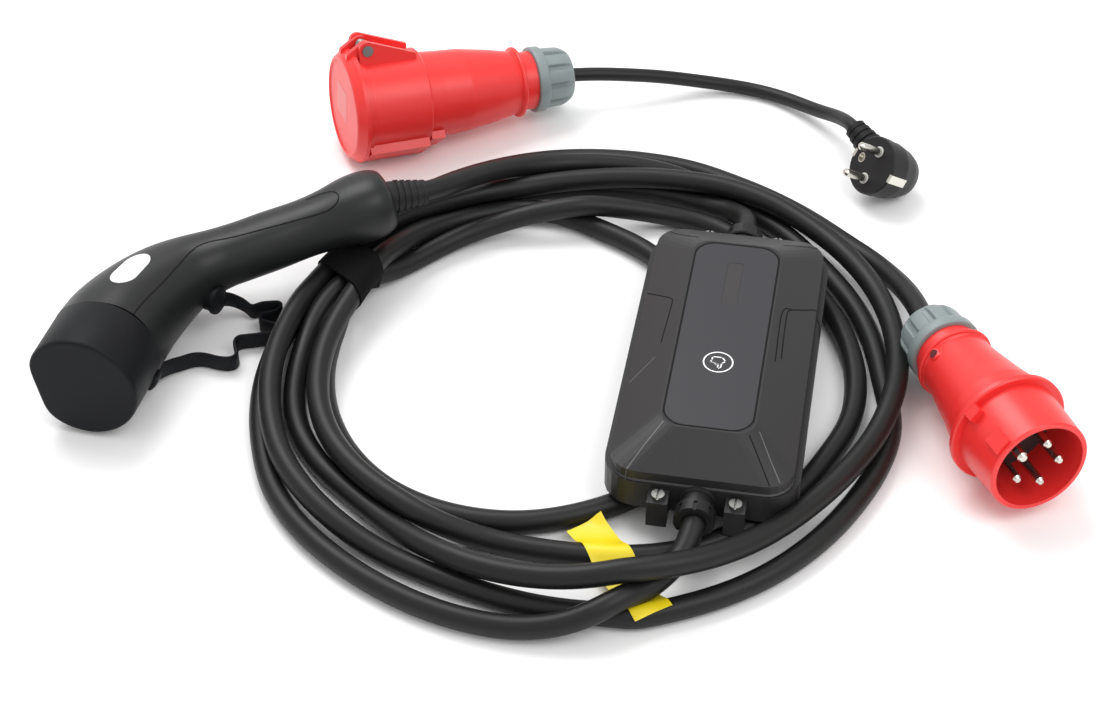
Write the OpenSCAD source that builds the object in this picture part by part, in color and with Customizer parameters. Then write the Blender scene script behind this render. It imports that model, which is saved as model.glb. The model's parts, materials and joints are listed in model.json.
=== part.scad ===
// Portable charger for an electric car, laid out on the floor with its cables coiled.
// A control box sits on the coil. One cable ends in the car connector under a dust cap,
// the other in a red five pin plug. A red coupler on a short lead adapts it to a wall plug.
// Millimetres. The floor is z = 0 and the view in use looks along +Y.

/* [Cables] */
// Diameter of the car cable and of the supply cable
cable_d = 13; // [12:0.5:14]
// Diameter of the short lead between the coupler and the wall plug
lead_d = 9; // [8:0.5:10]
// Radius to the middle of the coil's inmost turn, at the half rounds
coil_r = 154.5; // [150:0.5:158]
// Straight length between the coil's two half rounds
coil_straight = 32; // [28:1:36]
// Turns side by side in the coil's lower layer
coil_turns = 3; // [3:1:3]

/* [Control box] */
// Width of the cover
cover_w = 98; // [92:1:104]
// Length of the cover
cover_l = 206; // [196:1:216]
// Height of the lower half
base_h = 20; // [20:1:24]
// Height of the cover above its seal
cover_h = 18.5; // [17:0.5:22]
// Height of the cover's upright skirt
skirt_h = 5.5; // [4:0.5:7]
// How far the lower half stands out past the cover
ledge_w = 3.5; // [3:0.5:5]
// Wall of both halves
box_wall = 3; // [2.4:0.2:3.6]
// Corner radius of the cover
box_corner = 15; // [12:1:18]
// Thickness of the seal between the halves
seal_t = 1.5; // [1:0.25:2]
// Width of the front panel
panel_w = 49; // [44:1:52]
// Length of the front panel
panel_l = 155; // [145:1:160]
// Thickness of the front panel
panel_t = 2.4; // [2:0.2:3]
// Diameter of the cable glands' nuts
box_nut_d = 22; // [20:0.5:24]

/* [Car connector] */
// Wall of the dust cap
cap_wall = 4; // [3:0.5:5.5]
// Depth of the dust cap
cap_l = 38; // [34:1:40]
// Diameter of the nose that enters the car
nose_d = 57; // [56:0.5:58]
// Wall of the housing
gun_wall = 2.6; // [2.2:0.2:3.2]
// Half width of the handle, seen from the side
grip_w = 18; // [16.5:0.5:19.5]
// Half thickness of the handle
grip_t = 17; // [16:0.5:18.5]
// Diameter of the five power contacts
power_contact_d = 6; // [5.5:0.25:6.5]
// Diameter of the two signal contacts
signal_contact_d = 3; // [2.75:0.25:3.5]

/* [Red plug and coupler] */
// Outer diameter of the plug's shroud
shroud_d = 57; // [56:0.5:58]
// Wall of the plug's shroud
shroud_wall = 3; // [2.4:0.2:3.4]
// Depth of the shroud to the plug's collar
shroud_l = 34; // [32:1:36]
// Diameter of the plug's collar
collar_d = 68; // [66:1:70]
// Diameter of the four line pins
pin_d = 5; // [4.8:0.1:5.2]
// Diameter of the earth pin
earth_pin_d = 6; // [5.8:0.1:6.2]
// Radius of the circle of five pins
pin_circle_r = 13.2; // [12.8:0.2:14]
// Diameter of the two grey gland nuts
gland_nut_d = 42; // [41:0.5:43]
// Diameter of the coupler's lid
lid_d = 73.4; // [72.4:0.2:75]
// Depth of the lid
lid_l = 8; // [7:0.5:9]
// Diameter of the lid's hinge pin
hinge_d = 4; // [3.5:0.25:4.5]

/* [Wall plug] */
// Diameter of the plug's face
wall_plug_d = 37.5; // [36.5:0.25:38.5]
// Diameter of its two pins
wall_pin_d = 4.8; // [4.7:0.05:4.9]
// Distance between its two pins
wall_pin_gap = 19; // [18.8:0.1:19.2]
// Free length of its two pins
wall_pin_l = 19; // [18.5:0.25:19.5]

/* [Output] */
// Which piece to draw

/* [Hidden] */

round_fn = 72;
hole_fn = 32;
// Overrun of a cutting solid past the face it opens
cut = 1;
// Gap that lets one plastic piece slide in another
slide_gap = 0.3;
// Radial gap of a pin that turns in its bore
turn_gap = 0.05;

// Where things lie on the floor, and how they are turned
frame_shift = [68, -71, 0];
coil_at = [14, 0, 0];
box_at = [91, -21, cable_d];
box_turn = [0, 0, -10];
gun_at = [-264, -47, 34.7];
gun_turn = [-12, 3.3, 78];
plug_at = [254, -111, 37.3];
plug_turn = [0, 5, 109];
plug_key_angle = 40;
coupler_at = [-138.5, 212.6, 38.7];
coupler_turn = [-15, 5, 21];
wall_plug_at = [195.4, 165.2, 28];
wall_plug_turn = [-175, -34, -153];

// Routes of the free cables, on the floor plan of the layout
gun_route = [[-95, 105, 50.5], [-82, 109, 48.5], [-73, 118, 43], [-64, 131, 37], [-52, 147, 30],
    [-36, 163, 24], [-18, 173, 20.5], [4, 178, 19.5], [28, 180, 19.5], [52, 178, 19.5], [73, 175, 17],
    [92, 169, 12]];
box_route = [[110, 88, 25], [111, 102, 25], [112.5, 116, 22], [112, 128, 17], [109, 139, 11],
    [103, 149, 7]];
supply_start_route = [[72, -130, 25], [70, -143, 25], [68, -152, 21], [65, -159, 15],
    [58, -165, 9], [48, -170, 6.5]];
supply_route = [[84, 196, 6.5], [104, 187, 6.5], [127, 172, 6.5], [151, 152, 6.5], [174, 126, 6.5],
    [190, 101, 8], [200, 74, 13], [206, 52, 19], [209, 32, 23.5], [211, 18, 25.4], [213, 9, 26.2]];
adapter_route = [[0, 266, 25.8], [22, 271, 23.5], [41, 274, 21], [66, 279, 16], [90, 283, 10],
    [114, 283, 6], [134, 278, 5], [153, 266, 6.5], [170, 247, 11], [182, 227, 20], [188, 205, 28.7],
    [194, 195, 25.8]];
tether_route = [[-222, -13, 18], [-216, 0, 9], [-206, 9, 4], [-196, 10, 4], [-188, 12, 4],
    [-187, 20, 4], [-190, 27, 4], [-184, 30, 4], [-176, 33, 4], [-175, 43, 4], [-181, 55, 5],
    [-190, 60, 9], [-197, 58, 14], [-201, 52, 19]];
label_size = [26, 76, 0.8];
label_at = [31, -158, cable_d];
label_turn = 29;
strap_w = 25;
strap_t = 1.4;
strap_gap = 0.3;
strap_angle = 148;

// Sizes that follow from the ones above
coil_in = coil_r - cable_d / 2;
coil_out = coil_in + coil_turns * cable_d;
raised_at = [-1, -8];
raised_r = 175;
coil_round = 2.5;
inner_turn_r = 112.5;
inner_turn_at = [-14.5, 4];
base_w = cover_w + 2 * ledge_w;
base_l = cover_l + 2;
seal_z = base_h;
cover_z = seal_z + seal_t;
slope_z = cover_z + skirt_h;
cover_top = cover_z + cover_h;
panel_z = cover_top - panel_t / 2;
board_size = [80, 140];
board_z = 9;
board_t = 1.6;
gland_z = 12;
gland_d = box_nut_d - 4;
gland_tube_d = 15.2;
gland_out = 12;
gland_seat = 2;
box_nut_l = 9;
tab_x = 20.5;
tab_y = base_l / 2;
tab_size = [11, 12, 17];
lens_size = [9, 37];
lens_y = 42.5;

// One rounded rectangle as a list of points
function rounded(w, l, r, n = 6) = [
    for (q = [0:3], k = [0:n])
        let (a = 90 * q + 90 * k / n, sx = (q == 0 || q == 3) ? 1 : -1, sy = q < 2 ? 1 : -1)
            [sx * (w / 2 - r) + r * cos(a), sy * (l / 2 - r) + r * sin(a)]
];

function unit(v) = v / norm(v);

// Triangles between rings of n points, with a fan on each end
function tube_faces(rings, n) = concat(
    [for (i = [0:rings - 2], k = [0:n - 1])
        [i * n + k, i * n + (k + 1) % n, (i + 1) * n + k]],
    [for (i = [0:rings - 2], k = [0:n - 1])
        [i * n + (k + 1) % n, (i + 1) * n + (k + 1) % n, (i + 1) * n + k]],
    [[for (k = [0:n - 1]) n - 1 - k]],
    [[for (k = [0:n - 1]) (rings - 1) * n + k]]
);

// Direction of a route at point i
function heading(route, i) =
    let (last = len(route) - 1)
        unit(route[min(i + 1, last)] - route[max(i - 1, 0)]);

// Section points placed square to a route at point i
function ring_at(route, i, section) =
    let (t = heading(route, i), side = unit(cross([0, 0, 1], t)), up = cross(t, side))
        [for (p = section) route[i] + side * p[0] + up * p[1]];

function circle_points(d, n) = [for (k = [0:n - 1]) d / 2 * [cos(360 * k / n), sin(360 * k / n)]];

// A section swept along a route
module swept(route, section) {
    rings = [for (i = [0:len(route) - 1]) each ring_at(route, i, section)];
    polyhedron(rings, tube_faces(len(route), len(section)), convexity = 6);
}

// A profile of [radius, distance] points turned about local X
module turned(profile, fn = round_fn) {
    rotate([0, 90, 0])
        rotate_extrude($fn = fn)
            polygon([for (p = profile) [p[0], p[1]]]);
}

// A round rod along local X
module rod(d, from, to, fn = hole_fn) {
    translate([from, 0, 0])
        rotate([0, 90, 0])
            cylinder(d = d, h = to - from, $fn = fn);
}

// A rounded plate between two heights
module slab(w, l, r, from, to) {
    translate([0, 0, from])
        linear_extrude(to - from)
            polygon(rounded(w, l, r));
}

module at_xy(x, y) {
    translate([x, y, 0])
        children();
}

module on_four(x, y) {
    for (sx = [-1, 1], sy = [-1, 1])
        at_xy(sx * x, sy * y)
            children();
}

/* Control box */

module box_place() {
    translate(box_at + frame_shift)
        rotate(box_turn)
            children();
}

// The gland's axis at both ends of the box, with local X pointing outwards
module at_glands() {
    for (side = [-1, 1])
        translate([0, side * base_l / 2, gland_z])
            rotate([0, 0, 90 * side])
                children();
}

boss_x = cover_w / 2 - 10;
boss_y = cover_l / 2 - 14;
post_x = board_size[0] / 2 - 5;
post_y = board_size[1] / 2 - 5;
screw_d = 3.5;
screw_head_d = 6.5;

module box_base() {
    color("#2b2d2f")
        box_place()
            difference() {
                union() {
                    difference() {
                        union() {
                            slab(base_w, base_l, box_corner + ledge_w, 2, base_h);
                            slab(base_w - 4, base_l - 4, box_corner + ledge_w - 2, 0, 2 + 0.01);
                        }
                        slab(base_w - 2 * box_wall, base_l - 2 * box_wall, box_corner, box_wall,
                            base_h - box_wall);
                        slab(cover_w - 4 * box_wall, cover_l - 4 * box_wall, box_corner - 3,
                            base_h - box_wall - cut, base_h + cut);
                    }
                    on_four(boss_x, boss_y)
                        translate([0, 0, box_wall - 0.5])
                            cylinder(d = 11, h = base_h - box_wall + 0.5, $fn = hole_fn);
                    on_four(post_x, post_y)
                        translate([0, 0, box_wall - 0.5])
                            cylinder(d = 8, h = board_z - box_wall + 0.5, $fn = hole_fn);
                    on_four(tab_x, tab_y + tab_size[1] / 2 - 1)
                        translate([-tab_size[0] / 2, -tab_size[1] / 2, 0])
                            cube(tab_size);
                    at_glands()
                        rod(gland_tube_d + 4, -0.9, gland_seat, round_fn);
                }
                on_four(boss_x, boss_y) {
                    translate([0, 0, -cut])
                        cylinder(d = screw_d, h = base_h + 2 * cut, $fn = hole_fn);
                    translate([0, 0, -cut])
                        cylinder(d = screw_head_d + 0.6, h = cut + 4, $fn = hole_fn);
                }
                on_four(post_x, post_y)
                    translate([0, 0, box_wall])
                        cylinder(d = 2.5, h = board_z, $fn = hole_fn);
                on_four(tab_x, tab_y + tab_size[1] / 2)
                    translate([0, 0, 4])
                        cylinder(d = screw_d, h = tab_size[2], $fn = hole_fn);
                at_glands()
                    rod(gland_tube_d, -2 * box_wall, gland_seat + cut, round_fn);
            }
}

module cover_shell(inset) {
    slab(cover_w - 2 * inset, cover_l - 2 * inset, box_corner - inset, cover_z - inset * 2, slope_z);
    hull() {
        slab(cover_w - 2 * inset, cover_l - 2 * inset, box_corner - inset, slope_z - 0.02, slope_z);
        slab(panel_w + 3 - 1.2 * inset, panel_l + 3 - 1.2 * inset, 11 - inset, cover_top - inset - 0.02,
            cover_top - inset);
    }
}

module box_cover() {
    color("#35373a")
        box_place()
            difference() {
                union() {
                    difference() {
                        intersection() {
                            cover_shell(0);
                            translate([0, 0, cover_z + 50])
                                cube([300, 300, 100], center = true);
                        }
                        cover_shell(box_wall);
                    }
                    intersection() {
                        on_four(boss_x, boss_y)
                            translate([0, 0, cover_z])
                                cylinder(d = 9, h = 20, $fn = hole_fn);
                        cover_shell(box_wall / 2);
                    }
                }
                slab(panel_w + 0.4, panel_l + 0.4, 10.2, panel_z - panel_t / 2, cover_top + cut);
                on_four(boss_x, boss_y)
                    translate([0, 0, cover_z - cut])
                        cylinder(d = screw_d, h = cut + 6, $fn = hole_fn);
                at_xy(0, lens_y)
                    slab(lens_size[0], lens_size[1], 2, panel_z - 10, cover_top + cut);
            }
}

module box_seal() {
    color("#a9acb0")
        box_place()
            difference() {
                slab(cover_w, cover_l, box_corner, seal_z, cover_z);
                slab(cover_w - 2 * box_wall, cover_l - 2 * box_wall, box_corner - box_wall,
                    seal_z - cut, cover_z + cut);
                on_four(boss_x, boss_y)
                    translate([0, 0, seal_z - cut])
                        cylinder(d = screw_d, h = seal_t + 2 * cut, $fn = hole_fn);
            }
}

module front_panel() {
    color("#4a4b52")
        box_place()
            difference() {
                slab(panel_w, panel_l, 10, panel_z - panel_t / 2, panel_z + panel_t / 2);
                at_xy(0, lens_y)
                    slab(lens_size[0], lens_size[1], 2, panel_z - panel_t, panel_z + panel_t);
            }
}

module status_lens() {
    color("#6f726e")
        box_place()
            at_xy(0, lens_y)
                slab(lens_size[0] - 0.2, lens_size[1] - 0.2, 1.9, panel_z - panel_t / 2 - 1,
                    panel_z + panel_t / 2 - 0.1);
}

module circuit_board() {
    color("#1f5a3a")
        box_place()
            difference() {
                slab(board_size[0], board_size[1], 3, board_z, board_z + board_t);
                on_four(post_x, post_y)
                    translate([0, 0, board_z - cut])
                        cylinder(d = 2.9, h = board_t + 2 * cut, $fn = hole_fn);
            }
}

module board_screws() {
    color("#b9bcc0")
        box_place()
            on_four(post_x, post_y) {
                translate([0, 0, board_z - 5])
                    cylinder(d = 2.5, h = 5 + board_t, $fn = hole_fn);
                translate([0, 0, board_z + board_t])
                    cylinder(d = 5, h = 1.8, $fn = hole_fn);
            }
}

relay_size = [17, 30, 15];

module relays() {
    color("#2a2f38")
        box_place()
            for (k = [-1:1])
                translate([k * (relay_size[0] + 4) - relay_size[0] / 2, -relay_size[1] / 2 - 8,
                    board_z + board_t])
                    cube(relay_size);
}

// Size of a terminal block, how far out it stands and the pitch of its five holes
block_size = [48, 12, 12];
block_out = 56;
block_pitch = 9.2;

module terminal_blocks() {
    color("#3f7d55")
        box_place()
            for (side = [-1, 1])
                translate([-block_size[0] / 2, side * block_out - block_size[1] / 2, board_z + board_t])
                    difference() {
                        cube(block_size);
                        for (k = [-2:2])
                            translate([block_size[0] / 2 + k * block_pitch, block_size[1] / 2, 5])
                                cylinder(d = 4, h = 8, $fn = hole_fn);
                    }
}

module current_sensor() {
    color("#262626")
        box_place()
            translate([0, 28, board_z + board_t])
                difference() {
                    cylinder(d = 30, h = 13, $fn = round_fn);
                    translate([0, 0, -cut])
                        cylinder(d = 14, h = 13 + 2 * cut, $fn = round_fn);
                }
}

// Screws that hold the cover, put in from below
module box_screws() {
    color("#c3c5c8")
        box_place()
            on_four(boss_x, boss_y) {
                translate([0, 0, 1])
                    cylinder(d = screw_head_d, h = 3, $fn = hole_fn);
                translate([0, 0, 4])
                    cylinder(d = screw_d, h = cover_z + 2, $fn = hole_fn);
            }
}

// Upright screws on the four tabs beside the glands
module tab_screws() {
    color("#d0d2d4")
        box_place()
            on_four(tab_x, tab_y + tab_size[1] / 2)
                translate([0, 0, 4]) {
                    cylinder(d = screw_d, h = tab_size[2] - 4, $fn = hole_fn);
                    translate([0, 0, tab_size[2] - 4])
                        difference() {
                            cylinder(d = 7, h = 2.6, $fn = hole_fn);
                            translate([-0.6, -4, 1.4])
                                cube([1.2, 8, 2]);
                        }
                }
}

module box_glands() {
    color("#1f2022")
        box_place()
            at_glands()
                turned([[cable_d / 2, -box_wall], [gland_tube_d / 2, -box_wall],
                    [gland_tube_d / 2, gland_seat], [gland_d / 2, gland_seat], [gland_d / 2, gland_out],
                    [gland_d / 2 - 1, gland_out + 4], [cable_d / 2, gland_out + 4]]);
}

module box_gland_nuts() {
    color("#26282a")
        box_place()
            at_glands()
                difference() {
                    turned([[gland_d / 2, gland_out - 4], [box_nut_d / 2 - 0.8, gland_out - 4],
                        [box_nut_d / 2, gland_out - 3.2], [box_nut_d / 2, gland_out + box_nut_l - 4.5],
                        [box_nut_d / 2 - 2, gland_out + box_nut_l - 4], [cable_d / 2 + 0.2,
                        gland_out + box_nut_l - 4], [cable_d / 2 + 0.2, gland_out + 4],
                        [gland_d / 2 - 1, gland_out + 4], [gland_d / 2, gland_out]]);
                    for (k = [0:7])
                        rotate([45 * k, 0, 0])
                            translate([gland_out - 1, -1, box_nut_d / 2 - 0.8])
                                cube([box_nut_l, 2, 3]);
                }
}

// Saddles that grip the two cables inside the box
clamp_h = 19;

module cable_clamps() {
    color("#8d9094")
        box_place()
            for (side = [-1, 1])
                translate([0, side * (cover_l / 2 - 17), box_wall])
                    difference() {
                        translate([-14, -5, 0])
                            cube([28, 10, clamp_h]);
                        translate([0, 6, gland_z - box_wall])
                            rotate([90, 0, 0])
                                cylinder(d = cable_d + 0.4, h = 12, $fn = round_fn);
                        for (sx = [-1, 1])
                            translate([sx * 11, 0, -cut])
                                cylinder(d = 3, h = clamp_h + 2 * cut, $fn = hole_fn);
                    }
}

/* Car connector. Local X runs back from the nose and local Y is the top of the connector */

module gun_place() {
    translate(gun_at + frame_shift)
        rotate(gun_turn)
            children();
}

nose_front = 3.4;
nose_end = 58;
nose_wall = 2.8;
housing_front = cap_l + 0.6;
cap_front_t = 3;
face_flat = 0.85;

// Stations along the housing: x, y, turn, half width in the side view, half thickness
stations = [
    [housing_front, 0, 0, nose_d / 2 + 2.4, nose_d / 2 + 2.4],
    [54, -1, -4, nose_d / 2 + 1.8, nose_d / 2 + 1.8],
    [70, -4.5, -14, 28.6, 28.4],
    [86, -10.5, -25, 26.6, 26],
    [100, -18, -35, 24.5, 23],
    [112, -27.5, -44, grip_w + 3.5, grip_t + 2.6],
    [121, -40, -53, grip_w + 0.8, grip_t + 0.4],
    [128.5, -53, -57, grip_w, grip_t],
    [138, -68, -57, grip_w, grip_t],
    [149, -85, -57, grip_w - 0.5, grip_t - 0.5],
    [157, -97.5, -57, grip_w + 0.8, grip_t + 0.4],
    [165.5, -110.5, -57, grip_w + 3.6, grip_t + 2.6],
    [172.5, -121.5, -57, grip_w + 3.6, grip_t + 2.6],
    [177, -128.5, -57, grip_w, grip_t],
    [178.5, -131, -57, grip_w - 5, grip_t - 5]
];
butt = stations[len(stations) - 1];
boot_turn = [0, 14, butt[2]];
boot_l = 22;
boot_bore_d = 19.2;
seam_share = -0.55;
section_n = 36;
section_power = 0.88;
tether_d = 7;

function bent(v) = sign(v) * pow(abs(v), section_power);

function across(s) = [-sin(s[2]), cos(s[2]), 0];

function housing_ring(s, wall) = [
    for (k = [0:section_n - 1])
        let (a = 360 * k / section_n)
            [s[0], s[1], 0] + across(s) * (s[3] - wall) * bent(cos(a))
                - [0, 0, (s[4] - wall) * bent(sin(a))]
];

// The housing's outside, or its inside at a depth of one wall
module housing(wall, first, last) {
    used = [for (i = [first:last]) stations[i]];
    shift = wall > 0 ? cut : 0;
    rings = [for (i = [0:len(used) - 1])
        each [for (p = housing_ring(used[i], wall)) p - [i == 0 ? shift : 0, 0, 0]]];
    polyhedron(rings, tube_faces(len(used), section_n), convexity = 8);
}

// The side of the seam that holds the grip's lower shell
module seam_side() {
    edge = [for (s = stations) [s[0], s[1]] + [-sin(s[2]), cos(s[2])] * s[3] * seam_share];
    far = [for (s = stations) [s[0], s[1]] + [-sin(s[2]), cos(s[2])] * -60];
    last = len(stations) - 1;
    run_out = [cos(butt[2]), sin(butt[2])] * 20;
    translate([0, 0, -60])
        linear_extrude(120)
            polygon(concat([edge[0] - [20, 0]], edge, [edge[last] + run_out, far[last] + run_out],
                [for (i = [last:-1:0]) far[i]], [far[0] - [20, 0]]));
}

module at_boot() {
    translate([butt[0], butt[1], 0])
        rotate(boot_turn)
            children();
}

module housing_shell() {
    difference() {
        housing(0, 0, len(stations) - 1);
        housing(gun_wall, 0, len(stations) - 3);
        at_boot()
            rotate([7, 0, 0])
                rod(boot_bore_d, -17, 17, 48);
    }
}

// Three screws that join the shells, at share of the width below the centre line
module at_gun_screws() {
    for (i = [3, 6, 9])
        translate([stations[i][0], stations[i][1], 0])
            rotate([0, 0, stations[i][2]])
                translate([0, -stations[i][3], 0])
                    rotate([-90, 0, 0])
                        children();
}

gun_head_d = 6;
gun_screw_d = 3;
badge_at = [78, -8.5, 27.7];
badge_turn = [0, 8.5, -8];
badge_size = [28, 16];
badge_t = 1.7;

module badge_place() {
    translate(badge_at)
        rotate(badge_turn)
            children();
}

module gun_cover() {
    color("#1d1e20")
        gun_place()
            difference() {
                union() {
                    difference() {
                        housing_shell();
                        seam_side();
                    }
                    intersection() {
                        difference() {
                            housing(0.6, 0, len(stations) - 1);
                            seam_side();
                        }
                        at_gun_screws()
                            cylinder(d = 8, h = 2 * nose_d, $fn = hole_fn);
                    }
                }
                rod(nose_d + 2 * slide_gap, 0, nose_end + 0.5, round_fn);
                at_gun_screws()
                    cylinder(d = gun_screw_d, h = 17, $fn = hole_fn);
                badge_place()
                    slab(badge_size[0] + 0.4, badge_size[1] + 0.4, badge_size[1] / 2, -badge_t, 9);
            }
}

module gun_grip() {
    color("#1d1e20")
        gun_place()
            difference() {
                intersection() {
                    housing_shell();
                    seam_side();
                }
                rod(nose_d + 2 * slide_gap, 0, nose_end + 0.5, round_fn);
                at_gun_screws() {
                    translate([0, 0, -cut])
                        cylinder(d = gun_screw_d + 0.2, h = 20, $fn = hole_fn);
                    translate([0, 0, -cut])
                        cylinder(d = gun_head_d + 0.6, h = cut + 1.6, $fn = hole_fn);
                }
            }
}

module gun_badge() {
    color("#2c2e31")
        gun_place()
            intersection() {
                badge_place()
                    slab(badge_size[0], badge_size[1], badge_size[1] / 2 - 0.2, -badge_t + 0.1, 9);
                housing(-0.5, 0, 6);
            }
}

module gun_screws() {
    color("#a8abae")
        gun_place()
            at_gun_screws() {
                translate([0, 0, 0.2])
                    cylinder(d = gun_head_d, h = 1.2, $fn = hole_fn);
                translate([0, 0, 1.2])
                    cylinder(d = gun_screw_d, h = 14, $fn = hole_fn);
            }
}

// A rod with the flat on top that keys the car connector
module keyed_rod(d, from, to) {
    intersection() {
        rod(d, from, to, round_fn);
        translate([from - cut, -d, -d])
            cube([to - from + 2 * cut, d * (1 + face_flat / 2), 2 * d]);
    }
}

module gun_nose() {
    color("#232427")
        gun_place()
            difference() {
                union() {
                    keyed_rod(nose_d, nose_front, housing_front + 2);
                    rod(nose_d, housing_front + 1, nose_end, round_fn);
                }
                keyed_rod(nose_d - 2 * nose_wall, nose_front - cut, nose_end + 2);
            }
}

contact_places = [[0, 0], [0, 17], [0, -17], [-14, 9], [-14, -9]];
signal_places = [[13, 8.5], [13, -8.5]];

module at_contacts(places) {
    for (p = places)
        translate([0, p[0], p[1]])
            children();
}

module gun_insert() {
    color("#303236")
        gun_place()
            difference() {
                keyed_rod(nose_d - 2 * nose_wall - 0.3, nose_front + 1.5, nose_end - 8);
                at_contacts(contact_places)
                    rod(power_contact_d + 2.4, nose_front, nose_end);
                at_contacts(signal_places)
                    rod(signal_contact_d + 1.8, nose_front, nose_end);
            }
}

module gun_contacts() {
    color("#c9a552")
        gun_place() {
            at_contacts(contact_places)
                difference() {
                    rod(power_contact_d + 2.4, nose_front + 6, nose_end + 4);
                    rod(power_contact_d, nose_front + 5, nose_end - 10);
                }
            at_contacts(signal_places)
                difference() {
                    rod(signal_contact_d + 1.8, nose_front + 6, nose_end + 4);
                    rod(signal_contact_d, nose_front + 5, nose_end - 10);
                }
        }
}

module gun_boot() {
    color("#17181a")
        gun_place()
            at_boot() {
                turned([[cable_d / 2, -18], [12, -18], [12, -15], [boot_bore_d / 2, -15],
                    [boot_bore_d / 2, 1], [8.4, boot_l * 0.5], [cable_d / 2 + 1.2, boot_l],
                    [cable_d / 2, boot_l]]);
                for (k = [0:4])
                    turned([[cable_d / 2 + 0.5, 3.4 + 4 * k], [10 - 0.5 * k, 3.4 + 4 * k],
                        [10 - 0.5 * k, 5.4 + 4 * k], [cable_d / 2 + 0.5, 5.4 + 4 * k]]);
            }
}

cap_fit = nose_d + 2 * slide_gap;
cap_d = nose_d + 2 * cap_wall;

module dust_cap() {
    color("#3a3b3d")
        gun_place()
            difference() {
                union() {
                    keyed_rod(cap_d - 1.6, 0, 2);
                    keyed_rod(cap_d, 0.8, cap_l);
                    translate([cap_l - 9, -cap_d / 2 - 5, -5])
                        cube([8, 7, 10]);
                }
                keyed_rod(cap_fit, cap_front_t, cap_l + cut);
            }
}

module cap_tether() {
    color("#252628")
        translate(frame_shift)
            swept(tether_route, [[-1.2, -tether_d / 2], [1.2, -tether_d / 2], [1.2, tether_d / 2],
                [-1.2, tether_d / 2]]);
}

/* Red five pin plug. Local X runs back from the shroud's rim */

module plug_place() {
    translate(plug_at + frame_shift)
        rotate(plug_turn)
            children();
}

plug_body_l = 60;
collar_t = 4;
plug_rear = shroud_l + collar_t + plug_body_l;
plug_flange_d = 43;
plug_neck_d = 38;
thread_d = 35;
neck_l = 9;
carrier_t = 12;
pin_set = 1.5;
// How much thinner a pin's root is, and how far the root shows
root_step = 0.4;
root_gap = 0.5;
nut_l = 26;

// Places on the circle of five pins, the first one being earth
module at_pins(which) {
    for (k = which)
        rotate([72 * k, 0, 0])
            translate([0, pin_circle_r, 0])
                children();
}

module plug_keyed() {
    rotate([plug_key_angle, 0, 0])
        children();
}

// Flange, neck and threaded end behind a body that ends at a distance, as [radius, distance]
function threaded_end(end) = [
    [plug_flange_d / 2, end - 3], [plug_flange_d / 2, end], [plug_neck_d / 2, end],
    [plug_neck_d / 2, end + neck_l - 0.2], [thread_d / 2, end + neck_l - 0.2],
    [thread_d / 2, end + neck_l + 10], [0, end + neck_l + 10]
];

module plug_shroud() {
    color("#e0322c")
        plug_place()
            plug_keyed()
                difference() {
                    union() {
                        turned([[0, 0.8], [shroud_d / 2 - 0.8, 0], [shroud_d / 2, 0.8],
                            [shroud_d / 2 + 1.2, shroud_l], [collar_d / 2 - 0.8, shroud_l],
                            [collar_d / 2, shroud_l + 0.8], [collar_d / 2, shroud_l + collar_t - 0.8],
                            [collar_d / 2 - 0.8, shroud_l + collar_t], [0, shroud_l + collar_t]], 96);
                        translate([2, shroud_d / 2 - 2, -5])
                            cube([12, 4, 10]);
                        translate([shroud_l - 6, shroud_d / 2 - 1, -4])
                            cube([8, 6, 8]);
                    }
                    rod(shroud_d - 2 * shroud_wall, -cut, shroud_l + collar_t + cut, 96);
                }
}

module plug_carrier() {
    color("#3b3b3d")
        plug_place()
            plug_keyed()
                difference() {
                    union() {
                        rod(shroud_d - 2 * shroud_wall - 0.2, shroud_l, shroud_l + carrier_t, 96);
                        translate([8, 18, -5])
                            cube([shroud_l - 7, 6.4, 10]);
                    }
                    at_pins([1:4])
                        rod(pin_d - 2 * root_step, shroud_l - cut, shroud_l + carrier_t + cut);
                    at_pins([0])
                        rod(earth_pin_d - 2 * root_step, shroud_l - cut, shroud_l + carrier_t + cut);
                }
}

// One round pin with a tapered tip and a thinner root in the carrier
module plug_pin(d, tip) {
    turned([[0, tip], [d / 2 - 1, tip], [d / 2, tip + 1.5], [d / 2, shroud_l - root_gap],
        [d / 2 - root_step, shroud_l - root_gap], [d / 2 - root_step, shroud_l + carrier_t],
        [d / 2 + 1, shroud_l + carrier_t], [d / 2 + 1, shroud_l + carrier_t + 10],
        [0, shroud_l + carrier_t + 10]], hole_fn);
}

module plug_pins() {
    color("#cfd2d4")
        plug_place()
            plug_keyed()
                at_pins([1:4])
                    plug_pin(pin_d, pin_set);
}

module plug_earth_pin() {
    color("#cfd2d4")
        plug_place()
            plug_keyed()
                at_pins([0])
                    plug_pin(earth_pin_d, pin_set - 1);
}

module plug_body() {
    color("#e0322c")
        plug_place()
            plug_keyed()
                difference() {
                    union() {
                        turned(concat([[0, shroud_l + collar_t], [29.5, shroud_l + collar_t],
                            [28.2, 50], [25.6, 62], [22.2, 82], [20.6, plug_rear - 4]],
                            threaded_end(plug_rear)), 96);
                        translate([plug_rear - 9, plug_flange_d / 2 - 4, 0])
                            rod(9, 0, 8);
                    }
                    turned([[0, shroud_l - cut], [27, shroud_l - cut], [25.7, 50], [23.1, 62],
                        [19.7, 82], [18, plug_rear - 4], [14.5, plug_rear + neck_l + 11],
                        [0, plug_rear + neck_l + 11]], 96);
                    plug_screw_rods(cut + 3);
                }
}

// Shank and head of the screw that holds the body to the collar
module plug_screw_rods(head_l) {
    translate([plug_rear - 5, plug_flange_d / 2 - 5, 0])
        rotate([-90, 0, 0]) {
            cylinder(d = 3, h = 3, $fn = hole_fn);
            translate([0, 0, 2.5])
                cylinder(d = 5, h = head_l, $fn = hole_fn);
        }
}

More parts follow.
